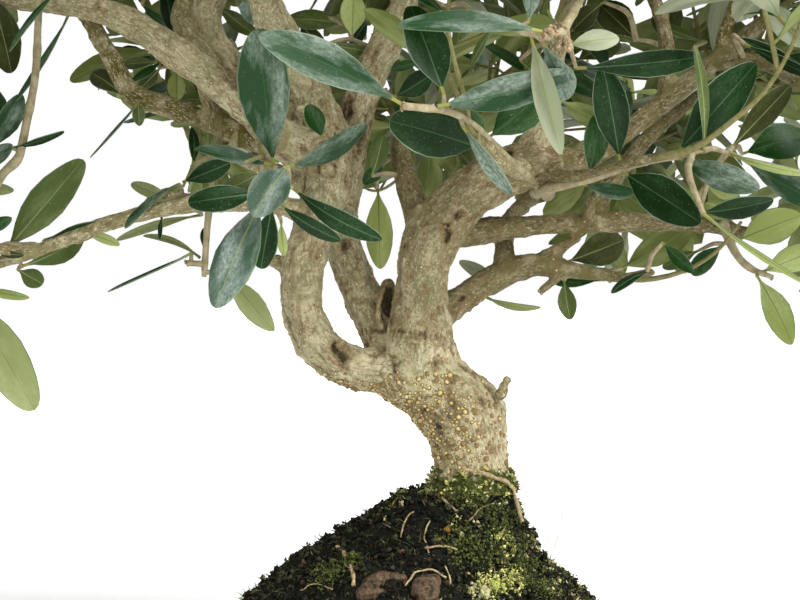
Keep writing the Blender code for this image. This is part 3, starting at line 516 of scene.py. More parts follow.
# Plain skins, two shades mottled together: both, the roughness, and where they
# aren't as usual the mottling's size and the relief
PLAIN_SKINS = {
    "wart": ((0.72, 0.59, 0.27), (0.60, 0.44, 0.17), 0.6),
    "wart_ring": ((0.17, 0.115, 0.045), (0.27, 0.20, 0.095), 0.85),
    "wart_brown": ((0.36, 0.255, 0.12), (0.22, 0.145, 0.060), 0.75),
    # soil: near black, the peat's own dark with painted shade in the gaps between the crumbs
    "soil": ((0.020, 0.021, 0.014), (0.0015, 0.0015, 0.001), 0.95, 1.3, 1.2),
    "peat": ((0.014, 0.016, 0.010), (0.003, 0.003, 0.002), 0.9),
    "peat_grey": ((0.070, 0.076, 0.042), (0.012, 0.014, 0.008), 0.9, 1.2),
    "peat_brown": ((0.075, 0.050, 0.027), (0.018, 0.012, 0.007), 0.9, 1.2),
    "peat_fibre": ((0.24, 0.22, 0.13), (0.10, 0.095, 0.055), 0.9, 1.2),
    "peat_green": ((0.10, 0.115, 0.035), (0.028, 0.036, 0.012), 0.9, 1.2),
    "moss_dark": ((0.150, 0.168, 0.048), (0.026, 0.040, 0.011), 0.8),
    "moss_bright": ((0.76, 0.72, 0.28), (0.36, 0.39, 0.09), 0.8),
    "moss_dry": ((0.66, 0.62, 0.34), (0.30, 0.28, 0.12), 0.85),
    "stone_brown": ((0.155, 0.105, 0.066), (0.030, 0.021, 0.014), 0.85, 2.2, 1.0),
    "stone_red": ((0.22, 0.105, 0.068), (0.12, 0.055, 0.035), 0.8),
    "bark_chip": ((0.30, 0.15, 0.025), (0.14, 0.07, 0.015), 0.8),
    "stone_green": ((0.42, 0.46, 0.11), (0.24, 0.28, 0.06), 0.85),
    "stone_pale": ((0.50, 0.48, 0.27), (0.30, 0.30, 0.14), 0.85),
    "root_bark": ((0.52, 0.42, 0.24), (0.22, 0.155, 0.08), 0.8, 1.5),
    "twig_bark": ((0.25, 0.225, 0.095), (0.16, 0.155, 0.060), 0.6),
    "pale_twig": ((0.42, 0.36, 0.225), (0.25, 0.215, 0.115), 0.6, 4.0),
    "bud": ((0.46, 0.36, 0.22), (0.20, 0.13, 0.07), 0.8, 1.0),
}


# --- The source's rule --------------------------------------------------------

def smooth_route(route, step, per_radius=0.0):
    """Points (x, y, z, radius) along a smooth curve through a route's points, a step
    apart, or farther where this many radii are more."""
    knots = [np.array(point, dtype=float) for point in route]
    knots = [2 * knots[0] - knots[1]] + knots + [2 * knots[-1] - knots[-2]]
    curve = []
    for before, start, end, after in zip(knots, knots[1:], knots[2:], knots[3:]):
        spacing = max(per_radius * start[3], step)
        pieces = max(1, round(np.linalg.norm(end[:3] - start[:3]) / spacing))
        for piece in range(pieces):
            t = piece / pieces
            curve.append(0.5 * (2 * start + (end - before) * t
                                + (2 * before - 5 * start + 4 * end - after) * t ** 2
                                + (3 * start - before - 3 * end + after) * t ** 3))
    curve.append(knots[-2])
    return np.array(curve)


def chance_way(rng, low=-1.0, high=1.0):
    """A way with each part drawn from -1 to 1, but for the last's own bounds."""
    return Vector((rng.uniform(-1, 1), rng.uniform(-1, 1), rng.uniform(low, high)))


def headings(curve):
    """Unit directions along a curve at each of its points."""
    ahead = np.gradient(curve[:, :3], axis=0)
    return [Vector(row).normalized() for row in ahead]


class Tubes:
    """Tapering tubes along curves of points (x, y, z, radius)."""

    def __init__(self, curves):
        self.starts = np.vstack([curve[:-1] for curve in curves])
        self.ends = np.vstack([curve[1:] for curve in curves])

    def clear(self, points, margin):
        """Whether every point keeps this margin from every tube."""
        runs = self.ends[:, :3] - self.starts[:, :3]
        along = points[:, None, :] - self.starts[None, :, :3]
        share = np.sum(along * runs, axis=2) / np.sum(runs ** 2, axis=1)
        share = np.clip(share, 0.0, 1.0)
        away = np.linalg.norm(along - share[:, :, None] * runs, axis=2)
        radii = self.starts[:, 3] + share * (self.ends[:, 3] - self.starts[:, 3])
        return bool(np.all(away > radii * (1 + KNOBS) + margin))


class Space:
    """The room that one mass keeps to: inside its reach, on its own side of the
    plane between it and every other mass, and clear of the limbs."""

    def __init__(self, name, limbs):
        mass = MASSES[name]
        self.middle = np.array(mass.middle, dtype=float)
        self.reach = np.array(mass.reach, dtype=float)
        others = [np.array(other.middle, dtype=float) - self.middle
                  for key, other in MASSES.items() if key != name]
        lengths = [np.linalg.norm(other) for other in others]
        self.normals = np.array([other / length for other, length in zip(others, lengths)])
        self.limits = np.array(lengths) / 2 - SPACE_MARGIN
        self.limbs = limbs

    def inside(self, points, foot=None):
        """Whether every point lies in the space, and clear of the limbs except
        close to the stem's foot."""
        offsets = points - self.middle
        if np.any(np.sum((offsets / self.reach) ** 2, axis=1) > 1.0):
            return False
        if np.any(offsets @ self.normals.T > self.limits):
            return False
        if foot is not None:
            points = points[np.linalg.norm(points - foot, axis=1) > STEM_CLEAR]
        return not len(points) or self.limbs.clear(points, LIMB_MARGIN)


def twig_curve(twig):
    """A twig's points with its radius, less in each order and toward its tip."""
    thick = max(STEM_RADIUS * TWIG_TAPER ** twig.order, TWIG_TIP_RADIUS + 0.1)
    last = len(twig.points) - 1
    return np.array([(*point, thick + (TWIG_TIP_RADIUS - thick) * index / last)
                     for index, point in enumerate(twig.points)])


def leaf_samples(leaf):
    """Points over a leaf's blade, to test where it lies."""
    across = leaf.way.cross(leaf.up)
    width = LEAF_WIDTH * leaf.length
    points = []
    for along in SAMPLES_ALONG:
        share = along / LEAF_WIDEST if along < LEAF_WIDEST else (1 - along) / (1 - LEAF_WIDEST)
        rise = LEAF_ARCH * leaf.length * share
        for side in SAMPLES_ACROSS:
            points.append(leaf.root + leaf.way * (along * leaf.length)
                          + across * (side * width * share) + leaf.up * rise)
    return np.array(points)


def walk(space, foot, way, length, rng, first_foot):
    """Knots along a shoot from its foot, stopping where it would leave its space."""
    points = [foot.copy()]
    steps = max(1, round(length / KNOT_SPACING))
    for step in range(steps):
        bend = chance_way(rng)
        inward = (Vector(space.middle) - points[-1]).normalized()
        turned = way.copy()
        if step:
            turned += TWIG_WANDER * bend + TURN_TO_MIDDLE * inward + TURN_TO_LIGHT * UPWARD
            turned.normalize()
        ahead = points[-1] + turned * (length / steps)
        checks = [points[-1].lerp(ahead, share) for share in (0.25, 0.5, 0.75, 1.0)]
        if not space.inside(np.array(checks), foot=first_foot):
            break
        points.append(ahead)
        way = turned
    return points


def pair_sides(way, roll):
    """The two opposite sides of a twig at a roll about its direction."""
    side = way.orthogonal().normalized()
    side.rotate(Quaternion(way, roll))
    return side, -side


def shoot_way(ahead, side, rng):
    """The way of a shoot that leans out from a twig to one side."""
    lean = math.radians(rng.uniform(*SHOOT_ANGLE))
    return ahead * math.cos(lean) + side * math.sin(lean)


def grow_twigs(space, foot, heading, rng):
    """A mass's twigs, stem first, and the buds that its leaves open from."""
    run = max(2.0 * (Vector(space.middle) - foot).length, 0.9 * max(space.reach))
    shoots = [(foot, heading, run, 0, None)]
    twigs, buds = [], []
    while shoots:
        start, way, length, order, parent = shoots.pop(0)
        points = walk(space, start, way, length, rng, np.array(foot))
        if len(points) < 2:
            continue
        here = len(twigs)
        twigs.append(Twig(points, order, parent))
        roll = rng.uniform(0, math.pi)
        for index in range(1, len(points)):
            ahead = (points[index] - points[index - 1]).normalized()
            roll += math.pi / 2
            joint = points[index - 1].lerp(points[index], JOINT_SHARE)
            last = index == len(points) - 1
            for side in pair_sides(ahead, roll):
                if order < TWIG_ORDERS and not last:
                    out = shoot_way(ahead, side, rng)
                    share = rng.uniform(*SHOOT_SHARE)
                    shoots.append((joint, out, length * share, order + 1, here))
                else:
                    root = points[index] - ahead * TIP_SETBACK if last else joint
                    buds.append(Bud(root, ahead, side, TIP_CLOSE if last else 1.0, here))
    return twigs, buds


def open_leaf(bud, shrink, rng):
    """A leaf from a bud, at a chance angle and size."""
    angle = math.radians(rng.uniform(*LEAF_ANGLE)) * bud.close
    side = bud.side.copy()
    side.rotate(Quaternion(bud.ahead, rng.uniform(-LEAF_TWIST, LEAF_TWIST)))
    way = bud.ahead * math.cos(angle) + side * math.sin(angle)
    way.z -= LEAF_DROOP
    way.normalize()
    up = bud.ahead - way * bud.ahead.dot(way) + 0.5 * UPWARD
    up = (up - way * up.dot(way)).normalized()
    length = rng.uniform(*LEAF_LENGTH) * shrink
    return Leaf(bud.root - way * LEAF_SINK, way, up, length, bud.twig)


def open_leaves(buds, space, twigs, rng, lengths=None):
    """A leaf from each bud, of these lengths if they are given. One that would leave
    the space or touch a twig is tried again, smaller."""
    every_twig = Tubes([twig_curve(twig) for twig in twigs])
    leaves = []
    for bud in buds:
        for trial in range(LEAF_TRIALS):
            shrink = LEAF_SHRINK ** trial
            leaf = open_leaf(bud, shrink, rng)
            if lengths:
                leaf = leaf._replace(length=rng.uniform(*lengths) * shrink)
            samples = leaf_samples(leaf)
            if space.inside(samples) and every_twig.clear(samples[BLADE_FROM:], TWIG_MARGIN):
                leaves.append(leaf)
                break
    return leaves


def grow(mass, space, bough):
    """The twigs and leaves of one mass, branched by the rule from one stem."""
    rng = random.Random(mass.seed)
    heading = headings(bough)[-1]
    foot = Vector(bough[-1][:3]) + heading * GAP
    twigs, buds = grow_twigs(space, foot, heading, rng)
    return twigs, open_leaves(buds, space, twigs, rng)


def noise_field(points, spacing, seed=0):
    """Smooth noise from -1 to 1 at each point, one cell wide for each spacing."""
    scaled = np.asarray(points, dtype=float) / spacing
    cell = np.floor(scaled).astype(np.int64)
    part = scaled - cell
    part = part * part * (3.0 - 2.0 * part)
    total = np.zeros(len(scaled))
    keep = 0xFFFFFFFF
    for corner in range(8):
        step = np.array([corner & 1, corner >> 1 & 1, corner >> 2 & 1])
        at = cell + step
        code = at[:, 0] * 73856093 ^ at[:, 1] * 19349663 ^ at[:, 2] * 83492791
        code = (code ^ (seed + 1) * 40503) & keep
        code = ((code ^ (code >> 15)) * 0x2C1B3C6D) & keep
        code = ((code ^ (code >> 12)) * 0x297A2D39) & keep
        value = ((code ^ (code >> 15)) & 0xFFFF) / 32767.5 - 1.0
        total += value * np.prod(np.where(step, part, 1.0 - part), axis=1)
    return total


def fractal(points, spacing, octaves, seed=0):
    """Noise with finer noise on it, half as high at each halving of the spacing."""
    total = np.zeros(len(points))
    for octave in range(octaves):
        total += noise_field(points, spacing / 2 ** octave, seed + octave) / 2 ** octave
    return total


def make_object(name, points, faces, skins, face_skins=None, smooth=True, sharp=None):
    """An object in metres from points in millimetres."""
    mesh = bpy.data.meshes.new(name)
    mesh.from_pydata(np.asarray(points) * MM, [], faces)
    for skin in skins:
        mesh.materials.append(skin)
    if face_skins is not None:
        mesh.polygons.foreach_set("material_index", np.asarray(face_skins, dtype=np.int32))
    if smooth:
        mesh.shade_smooth()
    if sharp:
        mesh.set_sharp_from_angle(angle=math.radians(sharp))
    mesh.update()
    return add_to_scene(name, mesh)


def add_to_scene(name, data):
    item = bpy.data.objects.new(name, data)
    bpy.context.scene.collection.objects.link(item)
    return item


def settle(item, slot, *nodes):
    """Give a piece its body, and hide the nodes that it replaces; the slot is not used."""
    if nodes:
        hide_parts(*nodes)
    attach(item, "root")


def read(items, key, width=1, kind=float):
    """A value, or a row of values, for each of a mesh's items."""
    values = np.empty(len(items) * width, dtype=kind)
    items.foreach_get(key, values)
    return values.reshape(-1, width) if width > 1 else values


def get_points(mesh):
    return read(mesh.vertices, "co", 3) / MM


def set_points(mesh, points):
    mesh.vertices.foreach_set("co", (points * MM).ravel())
    mesh.update()


def face_facts(mesh):
    """Each face's area, middle and normal."""
    middles = read(mesh.polygons, "center", 3) / MM
    return read(mesh.polygons, "area"), middles, read(mesh.polygons, "normal", 3)


def near_tree(places):
    """A search tree for the nearest of these places."""
    tree = kdtree.KDTree(len(places))
    for index, place in enumerate(places):
        tree.insert(place, index)
    tree.balance()
    return tree


def ray_tree(mesh):
    """A search tree for where a ray meets a mesh."""
    return BVHTree.FromPolygons([Vector(point) for point in get_points(mesh)],
                                [tuple(face.vertices) for face in mesh.polygons])


def ring_faces(count, sides):
    """Faces between this many rings of points, and over the first and the last."""
    faces = []
    for low in range(0, (count - 1) * sides, sides):
        for corner in range(sides):
            beside = (corner + 1) % sides
            faces.append((low + corner, low + beside, low + sides + beside, low + sides + corner))
    faces.append(tuple(range(sides))[::-1])
    faces.append(tuple(range((count - 1) * sides, count * sides)))
    return faces


class Gather:
    """Points and faces of many small forms, to be joined in one mesh."""

    def __init__(self):
        self.points, self.faces, self.skins, self.grains, self.count = [], [], [], [], 0

    def add(self, points, faces, skins=0, grain=None):
        start = self.count
        self.points.append(np.asarray(points, dtype=float))
        if grain is not None:
            self.grains.append(grain)
        self.faces.extend([tuple(corner + start for corner in face) for face in faces])
        self.skins.extend(skins if np.ndim(skins) else [skins] * len(faces))
        self.count += len(points)

    def make(self, name, skins, sharp=None):
        item = make_object(name, np.vstack(self.points), self.faces, skins, self.skins,
                           sharp=sharp)
        if self.grains:
            give_grain(item.data, np.vstack(self.grains))
        return item


def frames(curve):
    """Each point of a curve with its way, and two ways across it that don't spin."""
    ways = headings(curve)
    side = ways[0].orthogonal().normalized()
    for point, way in zip(curve, ways):
        side = (side - way * side.dot(way)).normalized()
        yield point, way, side, way.cross(side)


def tube_points(curve, sides):
    """Rings of points round a curve of (x, y, z, radius), with the tube's faces."""
    turns = 2 * np.pi * np.arange(sides) / sides
    points = []
    for point, _, side, cross in frames(curve):
        ring = np.outer(np.cos(turns), np.array(side)) + np.outer(np.sin(turns), np.array(cross))
        points.append(point[:3] + ring * point[3])
    return np.vstack(points), ring_faces(len(curve), sides)


# --- Wood ----------------------------------------------------------------------

def fine_curve(limb):
    """A limb's route in small steps, with a collar where it leaves its parent's side."""
    curve = smooth_route(limb.route, FINE_STEP)
    foot = Vector(limb.route[0][:3])
    if limb.parent and (Vector(LIMBS[limb.parent].route[-1][:3]) - foot).length > AT_TIP:
        steps = np.linalg.norm(np.diff(curve[:, :3], axis=0), axis=1)
        run = np.concatenate([[0.0], np.cumsum(steps)])
        curve[:, 3] *= 1.0 + COLLAR * np.exp(-run / (COLLAR_FADE * curve[0, 3]))
    return curve


def rounded(curve):
    """A curve that goes on past its end as half a ball."""
    end, before = curve[-1], curve[-2]
    way = (end[:3] - before[:3]) / np.linalg.norm(end[:3] - before[:3])
    cap = [(*(end[:3] + way * end[3] * far), end[3] * wide) for far, wide in HALF_BALL]
    return np.vstack([curve, cap])


def fuse(name, curves, voxel):
    """The tubes along these curves as one closed skin."""
    form = Gather()
    for curve in curves:
        form.add(*tube_points(rounded(curve), TUBE_SIDES))
    item = form.make(name, [])
    remesh = item.modifiers.new("fuse", "REMESH")
    remesh.mode = "VOXEL"
    remesh.voxel_size = voxel * MM
    bpy.context.view_layer.update()
    graph = bpy.context.evaluated_depsgraph_get()
    mesh = bpy.data.meshes.new_from_object(item.evaluated_get(graph))
    item.modifiers.clear()
    item.data = mesh
    mesh.name = name
    return item


def relax(mesh):
    """Even out the steps that the voxels leave, without thinning the limbs."""
    points = get_points(mesh)
    edges = read(mesh.edges, "vertices", 2, np.int32)
    one, two = edges.T
    count = np.bincount(edges.ravel(), minlength=len(points))[:, None]
    for share in (RELAX_IN, RELAX_OUT) * RELAX_ROUNDS:
        near = np.zeros_like(points)
        for axis in range(3):
            near[:, axis] = (np.bincount(one, points[two, axis], len(points))
                             + np.bincount(two, points[one, axis], len(points)))
        points += share * (near / count - points)
    set_points(mesh, points)


class Along:
    """Where each point of the wood lies along the limb nearest to it."""

    def __init__(self, curves):
        places, self.rows = [], []
        for curve in curves.values():
            run, before = 0.0, curve[0]
            for point, way, side, cross in frames(curve):
                run += np.linalg.norm(point[:3] - before[:3])
                before = point
                places.append(point[:3])
                self.rows.append((*point, *way, *side, *cross, run))
        self.rows = np.array(self.rows)
        self.tree = near_tree(places)
        starts = np.cumsum([0] + [len(curve) for curve in curves.values()])
        self.limb = np.repeat(np.arange(len(curves)), np.diff(starts))

    def find(self, points):
        """Limb number, run along it, place across it in its own frame, and radius."""
        index = np.array([self.tree.find(point)[1] for point in points])
        row = self.rows[index]
        offset = points - row[:, :3]
        ahead = np.sum(offset * row[:, 4:7], axis=1)
        across = np.sum(offset * row[:, 7:10], axis=1)
        over = np.sum(offset * row[:, 10:13], axis=1)
        return self.limb[index], row[:, 13] + ahead, np.column_stack([across, over]), row[:, 3]


def bark_relief(points, along):
    """How far the bark stands out at each point, how old the wood is there, its
    place in its limb's own frame, its limb, and how deep it lies in the relief's hollows, where
    shade is painted."""
    limb, run, across, radius = along.find(points)
    own = np.column_stack([across, run]) + limb[:, None] * LIMB_SHIFT
    drawn = own * (1.0, 1.0, 0.22)
    old = np.clip((radius - YOUNG_WOOD) / (OLD_WOOD - YOUNG_WOOD), 0.0, 1.0)
    wavy = drawn + 1.2 * noise_field(points, 9.0, 2)[:, None]
    fibres = 1.0 - 2.0 * np.abs(fractal(wavy, 2.5, 2, 3))
    lumps = fractal(points, 15.0, 2, 7)
    small = fractal(points, 4.2, 3, 11)
    pits = np.clip(noise_field(points, 3.1, 13) - 0.45, 0.0, 1.0)
    fibre_height, lump_height, small_height, pit_depth = (
        young + more * old for young, more in (FIBRES, LUMPS, SMALL_LUMPS, PITS))
    height = (fibre_height * fibres + lump_height * lumps + small_height * small
              - pit_depth * pits)
    # Painted shade: darkness where the fibres and small lumps sink, and in the pits
    hollow_shade = (np.clip(0.35 - 0.5 * fibres, 0.0, 1.0) * 0.7 + np.clip(-0.7 * small, 0.0, 1.0)
              + 0.5 * pits)
    return height, old, own, limb, hollow_shade


def seams(mesh, limb):
    """Where the nearest limb changes, spread over the points beside it."""
    one, two = read(mesh.edges, "vertices", 2, np.int32).T
    seam = np.zeros(len(limb))
    change = limb[one] != limb[two]
    seam[one[change]] = seam[two[change]] = 1.0
    for _ in range(SEAM_ROUNDS):
        wider = seam.copy()
        np.maximum.at(wider, one, seam[two] * SEAM_FADE)
        np.maximum.at(wider, two, seam[one] * SEAM_FADE)
        seam = wider
    return seam


def from_photo(x, y, depth):
    """The place at a pixel of the photograph, this far behind the trunk's axis."""
    scale = MM_PER_PIXEL * (depth - CAMERA_PLACE.y) / -CAMERA_PLACE.y
    return Vector((CAMERA_PLACE.x + (x - PHOTO_WIDTH / 2) * scale, depth,
                   CAMERA_PLACE.z + (PHOTO_HEIGHT / 2 - y) * scale))


def to_photo(points):
    """The pixels of the photograph that points fall on."""
    scale = MM_PER_PIXEL * (points[:, 1] - CAMERA_PLACE.y) / -CAMERA_PLACE.y
    return np.column_stack([PHOTO_WIDTH / 2 + (points[:, 0] - CAMERA_PLACE.x) / scale,
                            PHOTO_HEIGHT / 2 - (points[:, 2] - CAMERA_PLACE.z) / scale])


def photo_curve(rows, step=FINE_STEP):
    """A smooth curve through places in the photograph."""
    return smooth_route([(*from_photo(x, y, depth), radius) for x, y, depth, radius in rows], step)


def ray_to_wood(tree, pixel):
    """Where the camera's ray through a pixel of the photograph meets the wood."""
    way = (from_photo(*pixel, 0.0) - CAMERA_PLACE).normalized()
    return tree.ray_cast(CAMERA_PLACE, way)[0]


# Marks on the bark by kind: pixel of the photograph and radius
MARKS = {
    "ring": [(310, 338, 3.4), (327, 170, 4.6), (443, 236, 3.6), (408, 178, 3.2), (237, 40, 3.0)],
    "wound": [(337, 350, 5.0)],
    "knot": [
        (549, 183, 3.9), (525, 278, 2.6), (300, 215, 3.4), (413, 214, 3.4), (497, 238, 2.4),
        (345, 245, 2.6), (420, 331, 2.2), (482, 414, 1.8), (468, 452, 1.6), (492, 428, 1.6),
        (372, 232, 2.0), (270, 90, 2.8),
    ],
    "hole": [(508, 153, 3.0), (344, 358, 1.8), (334, 345, 1.5)],
    "bump": [(540, 157, 4.4), (503, 392, 3.6), (352, 108, 5.0), (286, 290, 3.4)],
    # Stains, mostly painted shade: in the crotch between the middle limb and the right trunk, among
    # the warts on the trunk's lower left and beside holes and knots; at the foot, darker bark
    "shade_and_stain": [
        (386, 306, 4.0), (380, 320, 3.0), (390, 322, 3.0), (389, 292, 2.6), (383, 296, 3.4),
        (387, 302, 4.0), (388, 312, 4.0), (386, 290, 3.4), (450, 392, 2.4), (457, 400, 2.6),
        (452, 412, 3.2), (443, 424, 4.2), (434, 440, 3.8), (447, 446, 2.8), (424, 412, 3.0),
        (436, 462, 3.6), (344, 362, 2.6), (352, 338, 2.4), (418, 205, 2.2),
    ],
    "rough": [(342, 108, 9.0), (352, 145, 9.0), (328, 82, 8.0), (320, 150, 7.0), (300, 110, 7.0)],
}
# A mark's height and darkness, each a sum of swells: how much, and how far from
# its middle and how wide in its radii
RING, HEART = (0.95, 0.32), (0.0, 0.55)
# The darkness in the sunken hearts of holes, wounds and creases is painted shade in those recesses
PROFILES = {
    "knot": ([(0.85, *RING), (-0.5, *HEART)], [(0.16, *RING), (0.34, *HEART)]),
    "ring": ([(0.75, *RING), (0.15, *HEART)], [(0.3, 0.75, 0.16)]),
    "hole": ([(0.8, *RING), (-2.6, *HEART)], [(0.1, *RING), (1.3, *HEART)]),
    "wound": ([(1.3, *RING), (-2.4, *HEART)], [(0.2, *RING), (1.15, *HEART)]),
    "crease": ([(1.0, *RING), (-2.4, *HEART)], [(0.42, 0.0, 0.8)]),
    "shade_and_stain": ([], [(0.5, 0.0, 1.0)]),
    "bump": ([(1.5, 0.0, 0.7)], []),
}
ROUGH_WIDTH = 1.15         # of a rough patch's swell, in its radii
# Creases in the bark, along these pixels
CREASES = [
    [
        (358, 331), (372, 330), (386, 333), (402, 337), (420, 338), (440, 340), (458, 341),
        (464, 345),
    ],
    [(392, 331), (406, 332), (424, 335), (446, 336), (461, 333)],
    [(400, 342), (424, 344), (448, 346)],
    [(462, 336), (466, 322), (472, 306), (478, 294)],
    [(455, 318), (460, 304), (466, 292)],
    [(420, 226), (436, 222), (452, 226)],
    [(498, 218), (500, 234), (494, 246)],
    [(332, 100), (338, 122), (332, 146)],
    [(350, 96), (354, 126), (348, 160)],
    [(366, 100), (364, 132), (358, 158)],
]


def swells(terms, reach):
    """The sum of these swells at each reach from a mark's middle."""
    total = 0.0 * reach
    for amount, middle, width in terms:
        total = total + amount * np.exp(-((reach - middle) / width) ** 2)
    return total


def give_attribute(mesh, name, values):
    layer = mesh.attributes.new(name, "FLOAT", "POINT")
    layer.data.foreach_set("value", np.clip(values, 0.0, 1.0).astype(np.float32))


def give_grain(mesh, places):
    """Each point's place in its limb's or leaf's own frame, for patterns along it."""
    grain = mesh.attributes.new("grain", "FLOAT_VECTOR", "POINT")
    grain.data.foreach_set("vector", (places * MM).astype(np.float32).ravel())


def chance_marks(mesh, rng, count):
    """Small knots and bumps at chance places on the bark."""
    for place, _ in scatter_on(mesh, read(mesh.polygons, "area"), count, rng):
        yield rng.choice(["bump", "bump", "knot", "ring"]), place, rng.uniform(1.8, 3.6)


def bark_marks(mesh, chance_count):
    """The kind, place and radius of every mark on the bark."""
    tree = ray_tree(mesh)
    marks = [(kind, ray_to_wood(tree, (x, y)), radius)
             for kind, rows in MARKS.items() for x, y, radius in rows]
    for pixels in CREASES:
        for start, end in zip(pixels, pixels[1:]):
            for share in CREASE_SHARES:
                pixel = tuple(np.array(start) + share * np.subtract(end, start))
                marks.append(("crease", ray_to_wood(tree, pixel), CREASE_RADIUS))
    marks += chance_marks(mesh, random.Random(MARK_SEED), chance_count)
    return [mark for mark in marks if mark[1] is not None]


def press_marks(points, marks, height, dark):
    """Add the marks to the bark's height and darkness, and rough patches last."""
    gnarled = np.zeros(len(points))
    for kind, place, size in marks:
        reach = np.linalg.norm(points - np.array(place), axis=1) / size
        near = reach < MARK_SPREAD
        if kind == "rough":
            gnarled[near] = np.maximum(gnarled[near], np.exp(-(reach[near] / ROUGH_WIDTH) ** 2))
            continue
        rise, shade = (swells(terms, reach[near]) for terms in PROFILES[kind])
        height[near] += rise * min(1.0, size / FULL_MARK)
        dark[near] += shade
    ridges = np.abs(fractal(points * (1.0, 1.0, 0.6), 6.0, 3, 51))
    height += gnarled * (1.7 * ridges + 0.8 * fractal(points, 2.6, 2, 52) - 0.7)
    # Rough patches are darker bark, with painted shade between their ridges
    dark += gnarled * (0.30 + 0.5 * np.clip(0.35 - ridges, -0.4, 1.0))


def make_wood(name, curves, voxel, skin, chance_count):
    """Limbs as one piece with their bark's relief, and what its colours go by."""
    item = fuse(name, list(curves.values()), voxel)
    mesh = item.data
    relax(mesh)
    points, normals = get_points(mesh), read(mesh.vertex_normals, "vector", 3)
    height, old, own, limb, hollow_shade = bark_relief(points, Along(curves))
    dark = np.zeros(len(points))
    press_marks(points, bark_marks(mesh, chance_count), height, dark)
    rise = points[:, 2]
    foot = np.clip((MOSS_TOP - rise) / 14.0 + 0.6 * noise_field(points, 6.0, 5), 0.0, 1.0)
    moss = foot * (rise < MOSS_TOP + 12.0)
    height += 0.5 * moss * fractal(points, 2.4, 2, 21)
    set_points(mesh, points + normals * height[:, None])
    # The first tint paints the crown's shade, darker and greener, on limbs under it above 160 mm
    tints = np.array([TINTS.get(key, TINTS["right"] if "right" in key else (0.0, 0.0))
                      for key in curves])[limb]
    for key, values in (("green", tints[:, 0] * np.clip((rise - 160.0) / 12.0, 0.0, 1.0)),
                        ("vivid", tints[:, 1]), ("old", old), ("moss", moss),
                        # dark: the marks, with the painted shade of the relief's hollows, deeper on
                        # old wood
                        ("dark", dark + (0.25 + 0.45 * old) * hollow_shade),
                        ("seam", seams(mesh, limb))):
        give_attribute(mesh, key, values)
    give_grain(mesh, own)
    mesh.materials.clear()
    mesh.materials.append(skin)
    mesh.shade_smooth()
    return item


# --- Materials -----------------------------------------------------------------


MIX_SHARE, MIX_FIRST, MIX_SECOND, MIX_COLOUR = 0, 6, 7, 2   # a mix node's sockets for colours


class Skin:
    """A material, and short ways to add its patterns, with sizes in millimetres."""

    def __init__(self, name, colour, roughness, gloss):
        self.made = bpy.data.materials.new(name)
        self.made.use_nodes = True
        self.made.diffuse_color = (*colour, 1.0)
        self.tree = self.made.node_tree
        self.shader = self.tree.nodes["Principled BSDF"]
        self.place = self.tree.nodes.new("ShaderNodeTexCoord").outputs["Object"]
        self.set("Base Color", colour)
        self.set("Roughness", roughness)
        self.set("Specular IOR Level", gloss)

    def fill(self, socket, value):
        """Give a socket a value, or a link from another node's socket."""
        if isinstance(value, bpy.types.NodeSocket):
            self.tree.links.new(value, socket)
        else:
            socket.default_value = (*value, 1.0) if socket.type == "RGBA" else value

    def set(self, key, value):
        self.fill(self.shader.inputs[key], value)

    def add(self, kind, output, inputs, **settings):
        """One output of a new node with these inputs and settings."""
        node = self.tree.nodes.new("ShaderNode" + kind)
        for key, value in settings.items():
            setattr(node, key, value)
        for key, value in inputs.items():
            self.fill(node.inputs[key], value)
        return node.outputs[output]

    def drawn_out(self, place, stretch):
        """A place, or the object's own, scaled along each axis."""
        place = place or self.place
        if not stretch:
            return place
        return self.add("Mapping", "Vector", {"Vector": place, "Scale": stretch})

    def noise(self, size, detail=3.0, roughness=0.55, stretch=None, place=None):
        """Noise whose features are of this size."""
        return self.add("TexNoise", "Fac", {
            "Scale": 1.0 / (size * MM), "Detail": detail, "Roughness": roughness,
            "Vector": self.drawn_out(place, stretch)})

    def cells(self, size, stretch=None, place=None, feature="F1"):
        """Distance from the middles, or from the edges, of cells of about this size."""
        return self.add("TexVoronoi", "Distance", {
            "Scale": 1.0 / (size * MM), "Vector": self.drawn_out(place, stretch)}, feature=feature)

    def attribute(self, name, output="Fac"):
        return self.add("Attribute", output, {}, attribute_name=name)

    def uneven(self, name, size, share):
        """An attribute with noise of this share taken off or added on."""
        grey = self.ramp(self.noise(size, 5.0, 0.7), 0.0, 1.0, -share, share)
        return self.plus(self.attribute(name), grey)

    def ramp(self, value, low, high, start=0.0, end=1.0):
        """A value taken from one range to another, and held at its ends."""
        return self.add("MapRange", "Result", {
            "Value": value, "From Min": low, "From Max": high, "To Min": start, "To Max": end})

    def plus(self, one, two):
        return self.add("Math", "Value", {0: one, 1: two}, operation="ADD")

    def times(self, first, *others):
        for other in others:
            first = self.add("Math", "Value", {0: first, 1: other}, operation="MULTIPLY")
        return first

    def mix(self, share, one, two):
        """This share of the second colour over the first."""
        return self.add("Mix", MIX_COLOUR, {MIX_SHARE: share, MIX_FIRST: one, MIX_SECOND: two},
                        data_type="RGBA")

    def bump(self, height, strength, depth):
        """Relief of this depth."""
        self.set("Normal", self.add("Bump", "Normal", {
            "Strength": strength, "Distance": depth * MM, "Height": height}))


